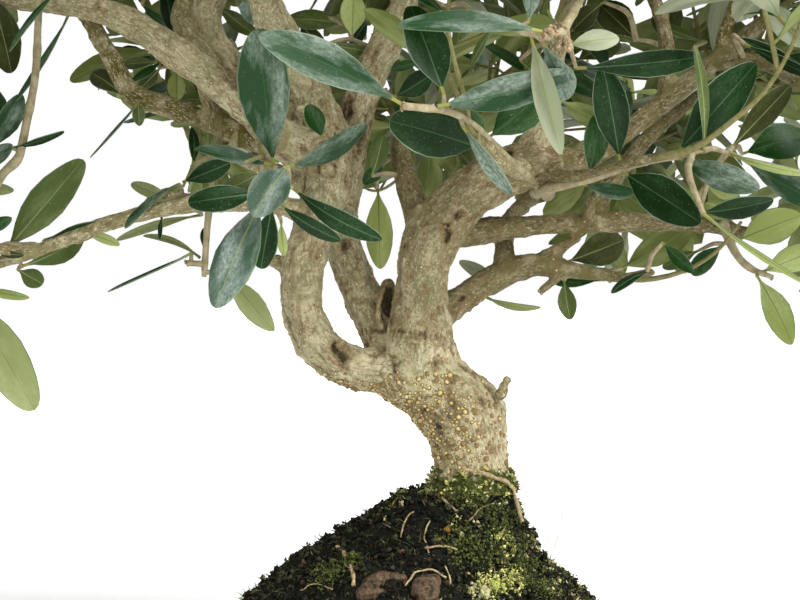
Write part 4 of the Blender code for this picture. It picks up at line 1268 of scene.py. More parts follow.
def bark_material():
    """Olive bark: tan and grey under a fine crackle, greener on young wood and
    mossy at the foot, with pores and pale lenticels."""
    skin = Skin("bark", BARK_SHADES["tan"], 0.8, BARK_GLOSS)
    ramp, noise, times = skin.ramp, skin.noise, skin.times
    grain = skin.attribute("grain", "Vector")
    smooth = ramp(skin.attribute("seam"), 0.0, 1.0, 1.0, 0.0)
    old, green = skin.attribute("old"), skin.attribute("green")
    # Where the crown's shade is painted, the pale coats fade to half, and deep streaks come as on
    # young wood
    lit = ramp(green, 0.0, 1.0, 1.0, 0.5)
    young = ramp(skin.plus(old, ramp(green, 0.0, 1.0, 0.0, -1.0)), -0.4, 0.9, 1.0, 0.0)
    drawn = (1.0, 1.0, 0.3)
    spot = skin.cells(4.6)
    chosen = ramp(noise(5.0, 1.0), 0.5, 0.53)
    dark = skin.uneven("dark", 1.3, 0.75)

    def streaks(size, detail, stretch, low, high, most):
        drawn_out = noise(size, detail, 0.8, (1.0, 1.0, stretch), grain)
        return times(ramp(drawn_out, low, high, 0.0, most), smooth)

    crackle = skin.cells(2.6, drawn, grain, "DISTANCE_TO_EDGE")
    coats = [
        ("grey", ramp(noise(15.0, 4.0, 0.6), 0.36, 0.58)),
        ("young", ramp(old, 0.0, 0.7, 0.8, 0.04)),
        # Painted shade of the crown, darker and greener
        ("green", ramp(skin.uneven("green", 9.0, 0.35), 0.0, 1.0, 0.0, 0.95)),
        ("vivid", ramp(skin.uneven("vivid", 5.0, 0.5), 0.35, 0.8, 0.0, 0.95)),
        ("pale", times(lit, ramp(noise(8.0, 5.0, 0.7), 0.5, 0.66, 0.0, 0.7))),
        ("brown", streaks(1.1, 5.0, 0.3, 0.50, 0.66, 0.72)),
        ("deep", times(streaks(1.5, 5.0, 0.25, 0.50, 0.60, 0.75), young)),
        ("pale", times(streaks(0.9, 4.0, 0.5, 0.52, 0.62, 0.8), lit)),
        ("brown", times(ramp(crackle, 0.0, 0.12, 0.9, 0.0), smooth, ramp(noise(7.0), 0.40, 0.60))),
        ("brown", ramp(skin.cells(2.3), 0.14, 0.24, 0.85, 0.0)),
        ("rust", times(ramp(spot, 0.16, 0.24, 0.85, 0.0), chosen)),
        ("pale", times(ramp(spot, 0.06, 0.10, 0.9, 0.0), chosen)),
        # The dark attribute, marks and stains with painted shade in hollows, recesses and the
        # crotch, tints rust, then dark
        ("rust", ramp(dark, 0.17, 0.45, 0.0, 0.65)),
        ("dark", ramp(dark, 0.45, 0.95, 0.0, 0.9)),
    ]
    colour = BARK_SHADES["tan"]
    for shade, share in coats:
        colour = skin.mix(share, colour, BARK_SHADES[shade])
    moss = skin.mix(ramp(noise(2.2, 4.0, 0.75), 0.45, 0.64), BARK_SHADES["moss"],
                    BARK_SHADES["lichen"])
    skin.set("Base Color", skin.mix(ramp(skin.uneven("moss", 2.2, 1.0), 0.40, 0.55), colour, moss))
    skin.set("Roughness", ramp(noise(3.0), 0.3, 0.7, 0.6, 0.9))
    fibre = times(noise(0.9, 5.0, 0.75, drawn, grain), smooth)
    pits = skin.plus(noise(0.7, 4.0, 0.7), ramp(spot, 0.05, 0.25, 0.5, 0.0))
    skin.bump(skin.plus(fibre, pits), 1.0, 0.7)
    return skin.made


def leaf_materials():
    """A leathery skin for each part of a leaf, with a painted reflection of the bright
    surround drawn along it in streaks, and pale specks on the tops."""
    made = []
    for name, (colour, painted_sheen, roughness) in LEAF_SHADES.items():
        skin = Skin("leaf_" + name, colour, roughness, LEAF_GLOSS)
        grain = skin.attribute("grain", "Vector")
        # The share of painted reflection: broad streaks along the leaf, broken up finely on the
        # tops
        share = skin.ramp(skin.noise(8.0, 4.0, 0.55, (1.0, 0.25, 1.0), grain), 0.42, 0.62)
        top = name.startswith("top")
        if top:
            fine = skin.noise(1.0, 5.0, 0.8, (1.0, 0.45, 1.0), grain)
            share = skin.times(share, skin.ramp(fine, 0.36, 0.62, 0.2, 1.0))
        shade = skin.mix(share, colour, painted_sheen)
        if top:
            specks = skin.ramp(skin.noise(0.8, 3.0, 0.7), 0.64, 0.74, 0.0, 0.4)
            shade = skin.mix(specks, shade, DUST)
        skin.set("Base Color", shade)
        patchy = skin.ramp(skin.noise(3.0), 0.3, 0.7, roughness - 0.05, roughness + 0.1)
        skin.set("Roughness", patchy)
        skin.bump(skin.noise(0.8), 0.4, 0.12)
        made.append(skin.made)
    return made


def plain(name):
    """The plain skin of this name, with a fine relief."""
    colour, other, roughness, *mottle = PLAIN_SKINS[name]
    size, relief = (*mottle, *USUAL_MOTTLE[len(mottle):])
    skin = Skin(name, colour, roughness, PLAIN_GLOSS)
    share = skin.ramp(skin.noise(size, 4.0, 0.7), 0.38, 0.62)
    skin.set("Base Color", skin.mix(share, colour, other))
    skin.bump(skin.noise(size / 3, 4.0, 0.6), 0.6, relief)
    return skin.made


# --- Leaves and twigs ----------------------------------------------------------

def finer_buds(mass, space, bough, twigs):
    """Short shoots from along the twigs, and the buds on them: the same
    rule, carried one order on."""
    rng = random.Random(mass.seed + FINER_SEED)
    foot = np.array(bough[-1][:3])
    shoots, buds = [], []
    for index, twig in enumerate(twigs):
        for start, end in zip(twig.points, twig.points[1:]):
            ahead = (end - start).normalized()
            for side in pair_sides(ahead, rng.uniform(0, math.pi)):
                way = shoot_way(ahead, side, rng)
                length = rng.uniform(*TINY_SHOOT_LENGTH)
                joint = start.lerp(end, rng.uniform(0.2, 0.9))
                points = walk(space, joint, way, length, rng, foot)
                if len(points) < 2:
                    continue
                here = len(twigs) + len(shoots)
                shoots.append(Twig(points, twig.order + 1, index))
                before, last = points[-2:]
                tip = (last - before).normalized()
                roll = rng.uniform(0, math.pi)
                for root, turn, close in ((before.lerp(last, JOINT_SHARE), 0.0, 1.0),
                                          (last - tip * TIP_SETBACK, math.pi / 2, TIP_CLOSE)):
                    for leaf_side in pair_sides(tip, roll + turn):
                        buds.append(Bud(root, tip, leaf_side, close, here))
    return shoots, buds


def grow_finer(name, bough, limbs):
    """A mass's twigs and leaves with finer ones added, but for those that would
    hide what the photograph shows."""
    mass = MASSES[name]
    space = Space(name, limbs)
    twigs, leaves = grow(mass, space, bough)
    shoots, buds = finer_buds(mass, space, bough, twigs)
    twigs += shoots
    rng = random.Random(mass.seed + FINER_LEAF_SEED)
    leaves += open_leaves(buds, space, twigs, rng, TINY_LEAF_LENGTH)
    hidden = set()
    for index, twig in enumerate(twigs):
        run = twig_curve(twig)[:, :3]
        run = np.vstack([run, (run[1:] + run[:-1]) / 2])
        over = [hides_what_shows(point[None]) for point in run]
        if twig.parent in hidden or (index and np.mean(over) > HIDDEN_SHARE):
            hidden.add(index)
    kept = uncrossed([leaf for leaf in leaves if leaf.twig not in hidden
                      and not hides_what_shows(leaf_samples(leaf))], mass)
    return carriers(twigs, kept), kept


def carriers(twigs, leaves):
    """The twigs that bear these leaves, and those that bear them, stem first."""
    needed = {0}
    for leaf in leaves:
        index = leaf.twig
        while index is not None:
            needed.add(index)
            index = twigs[index].parent
    return [twigs[index] for index in sorted(needed)]


def uncrossed(leaves, mass):
    """The leaves that keep clear of those before them and of the shown ones."""
    kept = []
    blades = [leaf_samples(shown_leaf(row)[0])[BLADE_FROM:] for row in SHOWN_LEAVES]
    blades = [blade for blade in blades
              if np.linalg.norm(blade.mean(axis=0) - mass.middle) < max(mass.reach) + SHOWN_REACH]
    for leaf in leaves:
        blade = leaf_samples(leaf)[BLADE_FROM:]
        if blades:
            every = np.vstack(blades)
            near = every[np.linalg.norm(every - blade.mean(axis=0), axis=1) < NEAR_ENOUGH]
            if len(near) and np.linalg.norm(blade[:, None] - near[None], axis=2).min() < LEAF_GAP:
                continue
        kept.append(leaf)
        blades.append(blade)
    return kept


LeafForm = namedtuple("LeafForm", "rings columns faces kinds")


def leaf_form(rings, columns):
    """Faces of one leaf and what each is: its top, underside, ribs, rims or stalk.
    Its columns are blade, rib and blade, with a rim each side on a near leaf."""
    layer, rib = len(rings) * columns, columns // 2 - 1
    rimmed = columns == NEAR_COLUMNS
    middles = {rib: "rib"} | ({0: "rim", columns - 2: "rim"} if rimmed else {})
    edge_kind = "rim" if rimmed else "rib"
    faces, kinds = [], []
    for row in range(len(rings) - 1):
        stalk = rings[row + 1] <= PETIOLE_END
        for column in range(columns - 1):
            corner = row * columns + column
            quad = (corner, corner + 1, corner + columns + 1, corner + columns)
            faces.append(quad)
            kinds.append("stalk" if stalk else middles.get(column, "top"))
            faces.append(tuple(layer + point for point in reversed(quad)))
            kinds.append("stalk" if stalk else "under_rib" if column == rib else "under")
        for edge, turn in ((0, 1), (columns - 1, -1)):
            corner = row * columns + edge
            quad = (corner, corner + columns, layer + corner + columns, layer + corner)
            faces.append(quad[::turn])
            kinds.append("stalk" if stalk else edge_kind)
    for row, turn in ((0, -1), (len(rings) - 1, 1)):
        for column in range(columns - 1):
            corner = row * columns + column
            quad = (corner, corner + 1, layer + corner + 1, layer + corner)
            faces.append(quad[::turn])
            kinds.append("rib")
    return LeafForm(np.array(rings), columns, faces, kinds)


NEAR_LEAF, LEAF = leaf_form(NEAR_RINGS, NEAR_COLUMNS), leaf_form(LEAF_RINGS, LEAF_COLUMNS)


def leaf_points(leaf, form, rng, width=None):
    """A leaf's points: a rounded lance that arches, folds a little along its rib
    and twists, as a thin closed shell."""
    length, rings = leaf.length, form.rings
    half = (width or LEAF_WIDTH * length * rng.uniform(*WIDTH_VARIES)) / 2
    bend, fold, roll, twist, sway, peak, blunt = (rng.uniform(*span) for span in LEAF_VARIES)
    shares = np.clip((rings - PETIOLE_END) / (1.0 - PETIOLE_END), 0.0, 1.0)
    widths = half * np.sin(np.pi * shares ** peak) ** (blunt + 0.35 * (1.0 - shares))
    widths = np.maximum(widths, np.where(rings <= PETIOLE_END, PETIOLE_HALF, 0.15))
    angles = bend * (rings - 0.35)
    steps = np.diff(rings, prepend=0.0) * length
    ahead = np.cumsum(np.cos(angles) * steps)
    rise = -np.cumsum(np.sin(angles) * steps)
    drift = sway * length * rings ** 2 * 0.5
    rib = RIB_HALF + (RIB_TIP_HALF - RIB_HALF) * rings
    rib = np.minimum(rib, 0.35 * widths) / widths
    ones = np.ones(len(rings))
    half_across = ([rib, 0.5 * ones, RIM_FROM * ones, ones] if form.columns == NEAR_COLUMNS
                   else [rib, 0.55 * ones, ones])
    across = np.column_stack([-column for column in half_across[::-1]] + half_across)
    size = np.abs(across)
    level = widths[:, None] * (fold * size - roll * size ** 3)
    wave = 0.05 * widths[:, None] * size * np.sin(9.0 * rings[:, None] + 2.0 * across + roll * 40.0)
    level = level + wave
    turn = twist * (rings - 0.2)[:, None]
    wide = across * widths[:, None]
    out = wide * np.cos(turn) - level * np.sin(turn)
    up = wide * np.sin(turn) + level * np.cos(turn)
    stalk = np.clip(1.0 - rings / 0.14, 0.0, 1.0)[:, None]
    thick = (RIM_THICK + (BLADE_THICK - RIM_THICK) * (1.0 - size ** 2)
             + stalk * (PETIOLE_THICK - BLADE_THICK)) * np.where(rings > 0.95, 0.7, 1.0)[:, None]
    on_rib = np.abs(np.arange(form.columns) - (form.columns - 1) / 2)[None] < 1.0
    top = up + thick / 2 - 0.16 * on_rib * (1.0 - stalk)
    low = up - thick / 2 - 0.45 * on_rib * (1.0 - rings[:, None]) * (1.0 - stalk)
    side = np.array(leaf.way.cross(leaf.up))
    layers = [np.array(leaf.root) + ahead[:, None, None] * np.array(leaf.way)
              + (out + drift[:, None])[:, :, None] * side
              + (height + rise[:, None])[:, :, None] * np.array(leaf.up) for height in (top, low)]
    own = np.dstack([wide, ahead[:, None] + 0.0 * wide, 0.0 * wide]) + rng.uniform(0.0, 900.0)
    points = np.vstack([layer.reshape(-1, 3) for layer in layers])
    return points, np.tile(own.reshape(-1, 3), (2, 1))


def add_leaf(gather, leaf, shades, rng, form=LEAF, width=None):
    points, grain = leaf_points(leaf, form, rng, width)
    gather.add(points, form.faces, leaf_slots(form.kinds, *shades), grain)


def shown_leaf(row):
    """A leaf at its place in the photograph, with its width."""
    root = from_photo(row.x, row.y, row.depth)
    tip = from_photo(row.tip_x, row.tip_y, row.tip_depth)
    way = (tip - root).normalized()
    up = (CAMERA_PLACE - root).normalized()
    up = (up - way * up.dot(way)).normalized()
    up.rotate(Quaternion(way, math.radians(row.roll)))
    middle_depth = (row.depth + row.tip_depth) / 2 - CAMERA_PLACE.y
    width = row.width * MM_PER_PIXEL * middle_depth / -CAMERA_PLACE.y
    return Leaf(root, way, up, (tip - root).length * 1.02, None), width


def in_box(pixels, left, top, right, low):
    x, y = pixels.T
    return (x > left) & (x < right) & (y > top) & (y < low)


def hides_what_shows(samples):
    """Whether a leaf would lie over sky, bare wood or a shown leaf in the photograph."""
    pixels, depths = to_photo(samples), samples[:, 1]
    if any(np.any(in_box(pixels, *box)) for box in SKY):
        return True
    if any(np.any(in_box(pixels, *box) & (depths < behind)) for *box, behind in WOOD_SHOWN):
        return True
    for row in SHOWN_LEAVES:
        start, tip = np.array([row.x, row.y]), np.array([row.tip_x, row.tip_y])
        length = np.linalg.norm(tip - start)
        ahead = (tip - start) / length
        offset = pixels - (start + tip) / 2
        along = offset @ ahead / (length / 2)
        across = offset @ np.array([-ahead[1], ahead[0]]) / (row.width / 2 + SHOWN_MARGIN)
        over = along ** 2 + across ** 2 < 1.0
        if np.any(over & (depths < max(row.depth, row.tip_depth) + SHOWN_BEHIND)):
            return True
    return False


SHADE_NUMBER = {name: number for number, name in enumerate(LEAF_SHADES)}


def leaf_slots(kinds, top, under):
    """The material of each face of a leaf with these shades."""
    rib = "rib_dark" if top in ("top_dark", "top_mid", "top_blue") else "rib_pale"
    slots = {"top": top, "under": under, "rib": rib, "under_rib": "rib_pale", "rim": "rim",
             "stalk": "stalk"}
    return [SHADE_NUMBER[slots[kind]] for kind in kinds]


def spray_shades(middle, rng):
    """The shades of a spray's tops and undersides, by where it grows."""
    x, y, _ = middle
    behind = min(max((y + 20.0) / 130.0, 0.0), 1.0)
    edge = min(max((abs(x) - 110.0) / 110.0, 0.0), 1.0)
    chances = {
        "top_dark": 0.9 * (1.0 - 0.75 * behind) * (1.0 - 0.5 * edge),
        "top_mid": 0.6,
        "top_blue": 0.35 * (1.0 - behind),
        "top_olive": 0.25 + 0.5 * edge + 0.3 * behind,
        # Painted light shining through leaves comes more often behind and at the edges
        "top_soft": 0.10 + 0.2 * behind,
        "top_pale": 0.03 + 0.3 * edge * behind + 0.2 * behind,
    }
    top = rng.choices(list(chances), weights=list(chances.values()))[0]
    under = rng.choices(["under_silver", "under_olive"], weights=[0.3, 0.6 + behind])[0]
    return top, under


# The masses whose leaves are joined in one piece
REGIONS = {
    "left": [
        "left_low_leaves", "left_outer_leaves", "left_top_leaves", "front_left_leaves",
        "whorl_leaves", "curled_bough_leaves",
    ],
    "back": [
        "left_behind_leaves", "left_back_leaves", "back_top_leaves", "back_leaves",
        "right_back_leaves", "inner_leaves",
    ],
    "front": [
        "front_top_left_leaves", "top_leaves", "front_top_leaves", "front_centre_leaves",
        "front_right_leaves", "top_right_leaves",
    ],
    "right": [
        "right_brown_bough_leaves", "right_middle_leaves", "right_low_leaves", "right_outer_leaves",
        "right_fork_leaves",
    ],
}


def make_foliage(limb_curves, limbs, leaf_skins):
    """The leaves of each region and every mass's twigs, as joined meshes."""
    sprigs = Gather()
    for region, names in REGIONS.items():
        leaves_form = Gather()
        for name in names:
            bough = limb_curves[MASSES[name].bough]
            twigs, leaves = grow_finer(name, bough, limbs)
            rng = random.Random(MASSES[name].seed + SHADE_SEED)
            for number, twig in enumerate(twigs):
                tube = smooth_route([tuple(point) for point in twig_curve(twig)], TWIG_STEP)
                tube[:, 3] *= TWIG_SLIM
                if number == 0:
                    run = np.linalg.norm(tube[:, :3] - tube[0, :3], axis=1)
                    tube[:, 3] += max(bough[-1][3] - tube[0, 3], 0.0) * np.exp(-run / STEM_FADE)
                sprigs.add(*tube_points(tube, TWIG_SIDES[twig.order]))
            shades = {}
            for leaf in leaves:
                if leaf.twig not in shades:
                    shades[leaf.twig] = spray_shades(leaf.root, rng)
                top, under = shades[leaf.twig]
                if rng.random() < OTHER_SHADE:
                    top = rng.choice(["top_dark", "top_mid", "top_olive"])
                add_leaf(leaves_form, leaf, (top, under), rng)
        settle(leaves_form.make("leaves_" + region, leaf_skins, LEAF_CREASE), "leaf", *names)
    settle(sprigs.make("twigs", [plain("twig_bark")]), "young_bark", *MASSES)


def shoot_to_wood(tree, root, rng):
    """A thin shoot from the nearest wood to a leaf's root that stands off it."""
    place, _, away = tree.find(root)
    if away < REACH_TO_WOOD:
        return None
    bow = chance_way(rng, 0.2) * 0.12 * away
    radius = min(1.4, 0.8 + away / 60.0)
    knots = [(*place, radius * 1.15), (*(place.lerp(root, 0.5) + bow), radius), (*root, 0.75)]
    return smooth_route(knots, SHOOT_STEP)


def make_shown(fine_curves, leaf_skins):
    """The twigs and leaves that the photograph shows one by one."""
    twigs = Gather()
    places = [point[:3] for curve in fine_curves.values() for point in curve[::2]]
    for rows in PALE_TWIGS.values():
        curve = photo_curve(rows)
        waves = np.cos(2 * np.pi * np.arange(len(curve)) * FINE_STEP / NODE_SPACING)
        swelling = np.clip(waves - 0.55, 0.0, 1.0) / 0.45
        curve[:, 3] *= 1.0 + NODE_SWELL * swelling
        twigs.add(*tube_points(curve, PALE_SIDES))
        places.extend(curve[:, :3])
    rng = random.Random(BUD_SEED)
    for *pixel, size in BUDS:
        middle = from_photo(*pixel)
        for _ in range(BUD_CRUMBS):
            away = Vector((rng.gauss(0, 1), rng.gauss(0, 1), rng.gauss(0, 1))) * 0.6 * size
            twigs.add(*crumb(middle + away, size * rng.uniform(0.6, 1.1), rng), 1)
    form = Gather()
    waiting = [(shown_leaf(row), row) for row in SHOWN_LEAVES]
    while waiting:
        tree = near_tree(places)
        waiting.sort(key=lambda entry: tree.find(entry[0][0].root)[2])
        (leaf, width), row = waiting.pop(0)
        shoot = shoot_to_wood(tree, leaf.root, rng)
        if shoot is not None:
            twigs.add(*tube_points(shoot, THIN_SIDES))
            places.extend(shoot[:, :3])
        under = "under_silver" if row.shade in ("silver", "blue", "mid") else "under_olive"
        add_leaf(form, leaf, (SHADES_SHOWN[row.shade], under), rng, NEAR_LEAF, width)
    settle(form.make("leaves_near", leaf_skins, LEAF_CREASE), "leaf")
    settle(twigs.make("pale_twigs", [plain("pale_twig"), plain("bud")]), "young_bark")


# --- Warts ---------------------------------------------------------------------

WART_TRIALS = 3400
WARTS_BELOW, WARTS_ABOVE = 104.0, 152.0   # the heights between which they are thick
WART_RADII = [0.4, 0.5, 0.6, 0.8, 1.0]
SMALL_WART_RADII = [0.35, 0.4, 0.5]
WART_GAP = 0.8
LEFT_PALE, RIGHT_PALE, LEFT_END = 0.6, 0.2, 30.0   # share of pale warts on each side of this x
WART_SPREAD, WART_RISE = 1.55, 0.35       # of the skirt round a wart, in its radius
CRUMB_SIZES = [0.45, 0.55, 0.7, 0.9, 1.2, 1.6]
CLEAR_OF_FLOOR = 2.5       # crumbs and moss keep this far up
TRUNK_FOOT, FOOT_RADIUS = 24.0, 15.0      # no crumbs here: its x, and how far round it
DOME_SIDES = 7

def dome(place, normal, radius, height, rng):
    """A low dome on a surface."""
    side = normal.orthogonal().normalized()
    side.rotate(Quaternion(normal, rng.uniform(0, math.pi)))
    cross = normal.cross(side)
    sides, points = DOME_SIDES, []
    for share, rise in ((1.0, -0.25), (0.72, 0.62)):
        for corner in range(sides):
            turn = 2 * math.pi * corner / sides
            out = (side * math.cos(turn) + cross * math.sin(turn)) * radius * share
            points.append(place + out * rng.uniform(0.85, 1.15) + normal * height * rise)
    points.append(place + normal * height)
    faces = [tuple(range(sides))[::-1]]
    for corner in range(sides):
        beside = (corner + 1) % sides
        faces.append((corner, beside, sides + beside, sides + corner))
        faces.append((sides + corner, sides + beside, 2 * sides))
    return points, faces


def scatter_on(mesh, weights, count, rng):
    """Places and normals spread over a mesh's faces, by weight."""
    sums = np.cumsum(weights).tolist()
    for index in rng.choices(range(len(mesh.polygons)), cum_weights=sums, k=count):
        face = mesh.polygons[index]
        yield face.center / MM, face.normal.copy()


def make_warts(mesh):
    """Pale warts on the bark, thick on the trunk's lower left side."""
    areas, centres, normals = face_facts(mesh)
    x, _, z = centres.T
    # From 106 to 151 mm up, more on the left, on what faces down, and in patches
    low = np.clip((151.0 - z) / 14.0, 0.0, 1.0) * np.clip((z - 106.0) / 4.0, 0.0, 1.0)
    left = np.clip(0.9 - (x - 12.0) / 16.0, 0.1, 1.0)
    under = np.clip(0.75 - 0.7 * normals[:, 2], 0.12, 1.0)
    patch = np.clip(0.7 + 1.2 * noise_field(centres, 11.0, 31), 0.08, 1.6)
    weights = areas * (low * left * under * patch + 0.010) * (z > 109.0)
    rng = random.Random(WART_SEED)
    form = Gather()
    places = []
    for place, normal in scatter_on(mesh, weights, WART_TRIALS, rng):
        thick = WARTS_BELOW < place.z < WARTS_ABOVE
        radius = rng.choice(WART_RADII if thick else SMALL_WART_RADII) * rng.uniform(0.9, 1.15)
        if places and min((place - other).length for other in places) < WART_GAP + radius:
            continue
        places.append(place)
        skirt = dome(place, normal, radius * WART_SPREAD, WART_RISE * radius, rng)
        form.add(*skirt, 1 if thick else 2)
        cap = dome(place + normal * 0.12, normal, radius, radius * rng.uniform(0.55, 0.8), rng)
        pale = thick and rng.random() < (LEFT_PALE if place.x < LEFT_END else RIGHT_PALE)
        form.add(*cap, 0 if pale else 2)
    skins = [plain(name) for name in ("wart", "wart_ring", "wart_brown")]
    settle(form.make("bark_warts", skins), "bark", "trunk")


# --- Root ball -----------------------------------------------------------------

# The ball's rings from the top: radius, height and shift to the right
BALL_RINGS = [
    (18.0, 99.7, 19.4), (24.8, 97.0, 16.8), (36.4, 87.0, 10.2), (44.4, 79.6, 6.4),
    (50.8, 73.0, 2.4), (71.6, 55.0, 1.2), (85.0, 37.0, 0.0), (87.0, 21.0, 0.0), (82.0, 8.0, 0.0),
    (77.0, 0.0, 0.0),
]
BALL_DEPTH = 0.93          # from front to back, as a share of its width
BALL_SIDES = 220
CRUMBS = 7600
CLODS, CLOD_CRUMBS = 420, 12
PEAT_STRANDS = 5200
MOSS_TUFTS, FOOT_TUFTS = 900, 820
TUFTS_PER_RADIUS = 11      # of a spot of moss
# The skins of peat, moss and stones, in the order that numbers name them below
PEAT_SKINS = ("peat", "peat_grey", "peat_brown", "peat_fibre", "peat_green")
MOSS_SKINS = ("moss_dark", "moss_bright", "moss_dry")
STONE_SKINS = ("stone_brown", "stone_red", "bark_chip", "stone_green", "stone_pale")
# Where moss lies, in the photograph: pixel, radius and shade
MOSS_SPOTS = [
    (496, 584, 8.0, 1), (480, 592, 5.0, 2), (470, 500, 9.0, 0), (500, 515, 10.0, 0),
    (460, 545, 9.0, 0), (490, 550, 9.0, 0), (520, 560, 9.0, 0), (445, 492, 6.0, 0),
    (512, 578, 6.0, 1), (505, 540, 4.0, 1), (330, 575, 6.0, 0), (350, 560, 4.0, 0),
    (540, 585, 8.0, 0),
]
# Roots on the ball: pixels and radius, a pixel that misses the ball left to hang
# between its neighbours
ROOTS = [
    ([
        (458, 462, -16), (466, 468, -19), (482, 473, -19), (498, 478, -17), (509, 483, -13),
        (515, 494, -12), (518, 506, -18), (522, 522, -24),
    ], 0.8),
    ([(415, 495), (424, 491), (436, 495), (447, 503), (457, 512)], 0.6),
    ([(400, 538), (403, 526), (407, 516), (414, 511)], 0.3),
    ([(337, 546), (345, 555), (351, 567), (353, 585)], 0.85),
    ([(424, 548), (440, 546), (458, 550)], 0.4),
    ([(405, 586), (416, 573), (432, 569), (446, 578)], 0.45),
    ([(384, 521), (391, 507), (400, 496)], 0.35),
    ([(470, 520), (480, 508), (494, 503)], 0.35),
    ([(430, 520), (424, 534), (428, 552)], 0.3),
    ([(300, 590), (318, 584), (332, 590)], 0.3),
    ([(440, 600), (450, 582), (446, 566)], 0.35),
    ([(520, 560), (532, 548), (536, 540)], 0.3),
    ([(320, 534, -12), (320, 521, -12), (319, 512, -12)], 0.14),
    ([(548, 566, -12), (557, 540, -12), (561, 524, -12), (563, 510, -12)], 0.14),
    ([(548, 566, -12), (548, 544, -12), (550, 524, -12)], 0.12),
]
ROOT_OUT = 1.3             # how far a surface root stands off the ball
# Stones on the ball: pixel, radius and shade
STONES = [
    (376, 591, 7.6, 0), (396, 577, 4.0, 0), (426, 590, 6.2, 0), (306, 562, 1.9, 1),
    (446, 532, 2.0, 2), (440, 540, 1.2, 2), (497, 588, 4.0, 3), (483, 594, 4.2, 4),
    (508, 580, 2.6, 3), (404, 552, 1.6, 1), (462, 536, 1.8, 4),
]


def make_root_ball():
    """The ball of soil, lumpy but for its flat underside."""
    rings = smooth_route([(*ring, 1.0) for ring in BALL_RINGS], BALL_STEP)
    turns = 2 * np.pi * np.arange(BALL_SIDES) / BALL_SIDES
    circle = np.column_stack([np.cos(turns), BALL_DEPTH * np.sin(turns), 0 * turns])
    points = np.vstack([np.array([shift, 0.0, height]) + circle * radius
                        for radius, height, shift, _ in rings])
    out = points - np.array([10.0, 0.0, 30.0])
    out /= np.linalg.norm(out, axis=1)[:, None]
    lump = 1.8 * fractal(points, 16.0, 2, 41) + 3.0 * np.abs(fractal(points, 6.5, 3, 43)) - 1.6
    height = points[:, 2]
    fade = np.clip(height / 6.0, 0.0, 1.0) * np.clip((100.5 - height) / 3.0, 0.0, 1.0)
    points += out * (lump * fade)[:, None]
    *wall, top, underside = ring_faces(len(rings), BALL_SIDES)
    faces = [(face[0], *face[:0:-1]) for face in wall] + [top[::-1], underside[::-1]]
    item = make_object("root_ball_soil", points, faces, [plain("soil")])
    settle(item, "soil", "root_ball")
    return item.data


def crumb(place, size, rng):
    """A lump of soil: an uneven spindle, with four sides if it is large."""
    sides = 4 if size > 0.8 else 3
    turn = Quaternion((*chance_way(rng), 1.0)).normalized()
    angles = [2 * math.pi * share / sides for share in range(sides)]
    corners = [Vector((math.cos(angle), math.sin(angle), 0.0)) for angle in angles]
    points = []
    for corner in (*corners, Vector((0, 0, 1)), Vector((0, 0, -1))):
        corner.rotate(turn)
        points.append(place + corner * size * rng.uniform(0.6, 1.25))
    faces = []
    for start in range(sides):
        end = (start + 1) % sides
        faces += [(start, end, sides), (end, start, sides + 1)]
    return points, faces


def strand(place, way, length, radius, rng, bends=2, droop=0.35):
    """A thin moss leaf, root or hair: a three-sided tube that tapers and bends."""
    curve = []
    point = place - way * radius
    for step in range(bends + 1):
        share = step / bends
        curve.append((*point, radius * (1.0 - 0.85 * share)))
        way = (way + chance_way(rng, -1.0 - droop, 1.0 - droop) * 0.35).normalized()
        point = point + way * (length / bends)
    return tube_points(np.array(curve), STRAND_SIDES)


def stone(place, size, rng):
    """An uneven rounded stone."""
    way = chance_way(rng, -0.4, 0.4).normalized() * size
    rows = [(*(place + way * math.cos(math.pi * share)), size * math.sin(math.pi * share) * 0.8)
            for share in (0.95, 0.86, 0.74, 0.62, 0.5, 0.38, 0.26, 0.14, 0.05)]
    points, faces = tube_points(np.array(rows), STONE_SIDES)
    points += (points - np.array(place)) * (0.5 * fractal(points, 0.9 * size, 3, 77))[:, None]
    return points, faces


def tuft(moss, place, normal, shade, rng, spread=1.3):
    """Leafy crumbs of moss with a few strands between them."""
    for _ in range(4):
        start = place + chance_way(rng) * spread
        if start.z > CLEAR_OF_FLOOR:
            moss.add(*crumb(start + normal * 0.4, rng.uniform(0.35, 0.95), rng), shade)
    for _ in range(2):
        way = (normal + 0.9 * chance_way(rng, -0.4)).normalized()
        start = place + chance_way(rng) * spread
        if start.z > 4.0:
            blade = strand(start, way, rng.uniform(1.2, 3.4), rng.uniform(0.16, 0.3), rng)
            moss.add(*blade, shade)


def make_crumbs(mesh, ground, height, rng):
    """Crumbs, clods and strands of peat over the ball."""
    crumbs = Gather()
    for place, normal in scatter_on(mesh, ground, CRUMBS, rng):
        size = rng.choice(CRUMB_SIZES) * rng.uniform(0.8, 1.2)
        size = min(size, 0.8 * place.z)
        lump = crumb(place + normal * size * rng.uniform(0.1, 0.9), size, rng)
        crumbs.add(*lump, rng.choice([0, 0, 0, 1, 1, 2]))
    for place, normal in scatter_on(mesh, ground * (height > 8.0), CLODS, rng):
        middle = place + normal * rng.uniform(0.2, 1.7)
        shade = rng.choice([0, 0, 1, 2])
        for _ in range(CLOD_CRUMBS):
            around = chance_way(rng) - 0.5 * normal
            crumbs.add(*crumb(middle + around * 1.9, rng.uniform(0.35, 0.9), rng), shade)
    for place, normal in scatter_on(mesh, ground * (height > 6.0), PEAT_STRANDS, rng):
        way = (normal + 0.9 * chance_way(rng, -0.6, 0.9)).normalized()
        fibre = strand(place, way, rng.uniform(1.5, 5.5), rng.uniform(0.18, 0.42), rng)
        crumbs.add(*fibre, rng.choice([0, 0, 1, 1, 1, 2, 2, 4, 4, 3]))
    settle(crumbs.make("soil_crumbs", [plain(name) for name in PEAT_SKINS]), "soil")


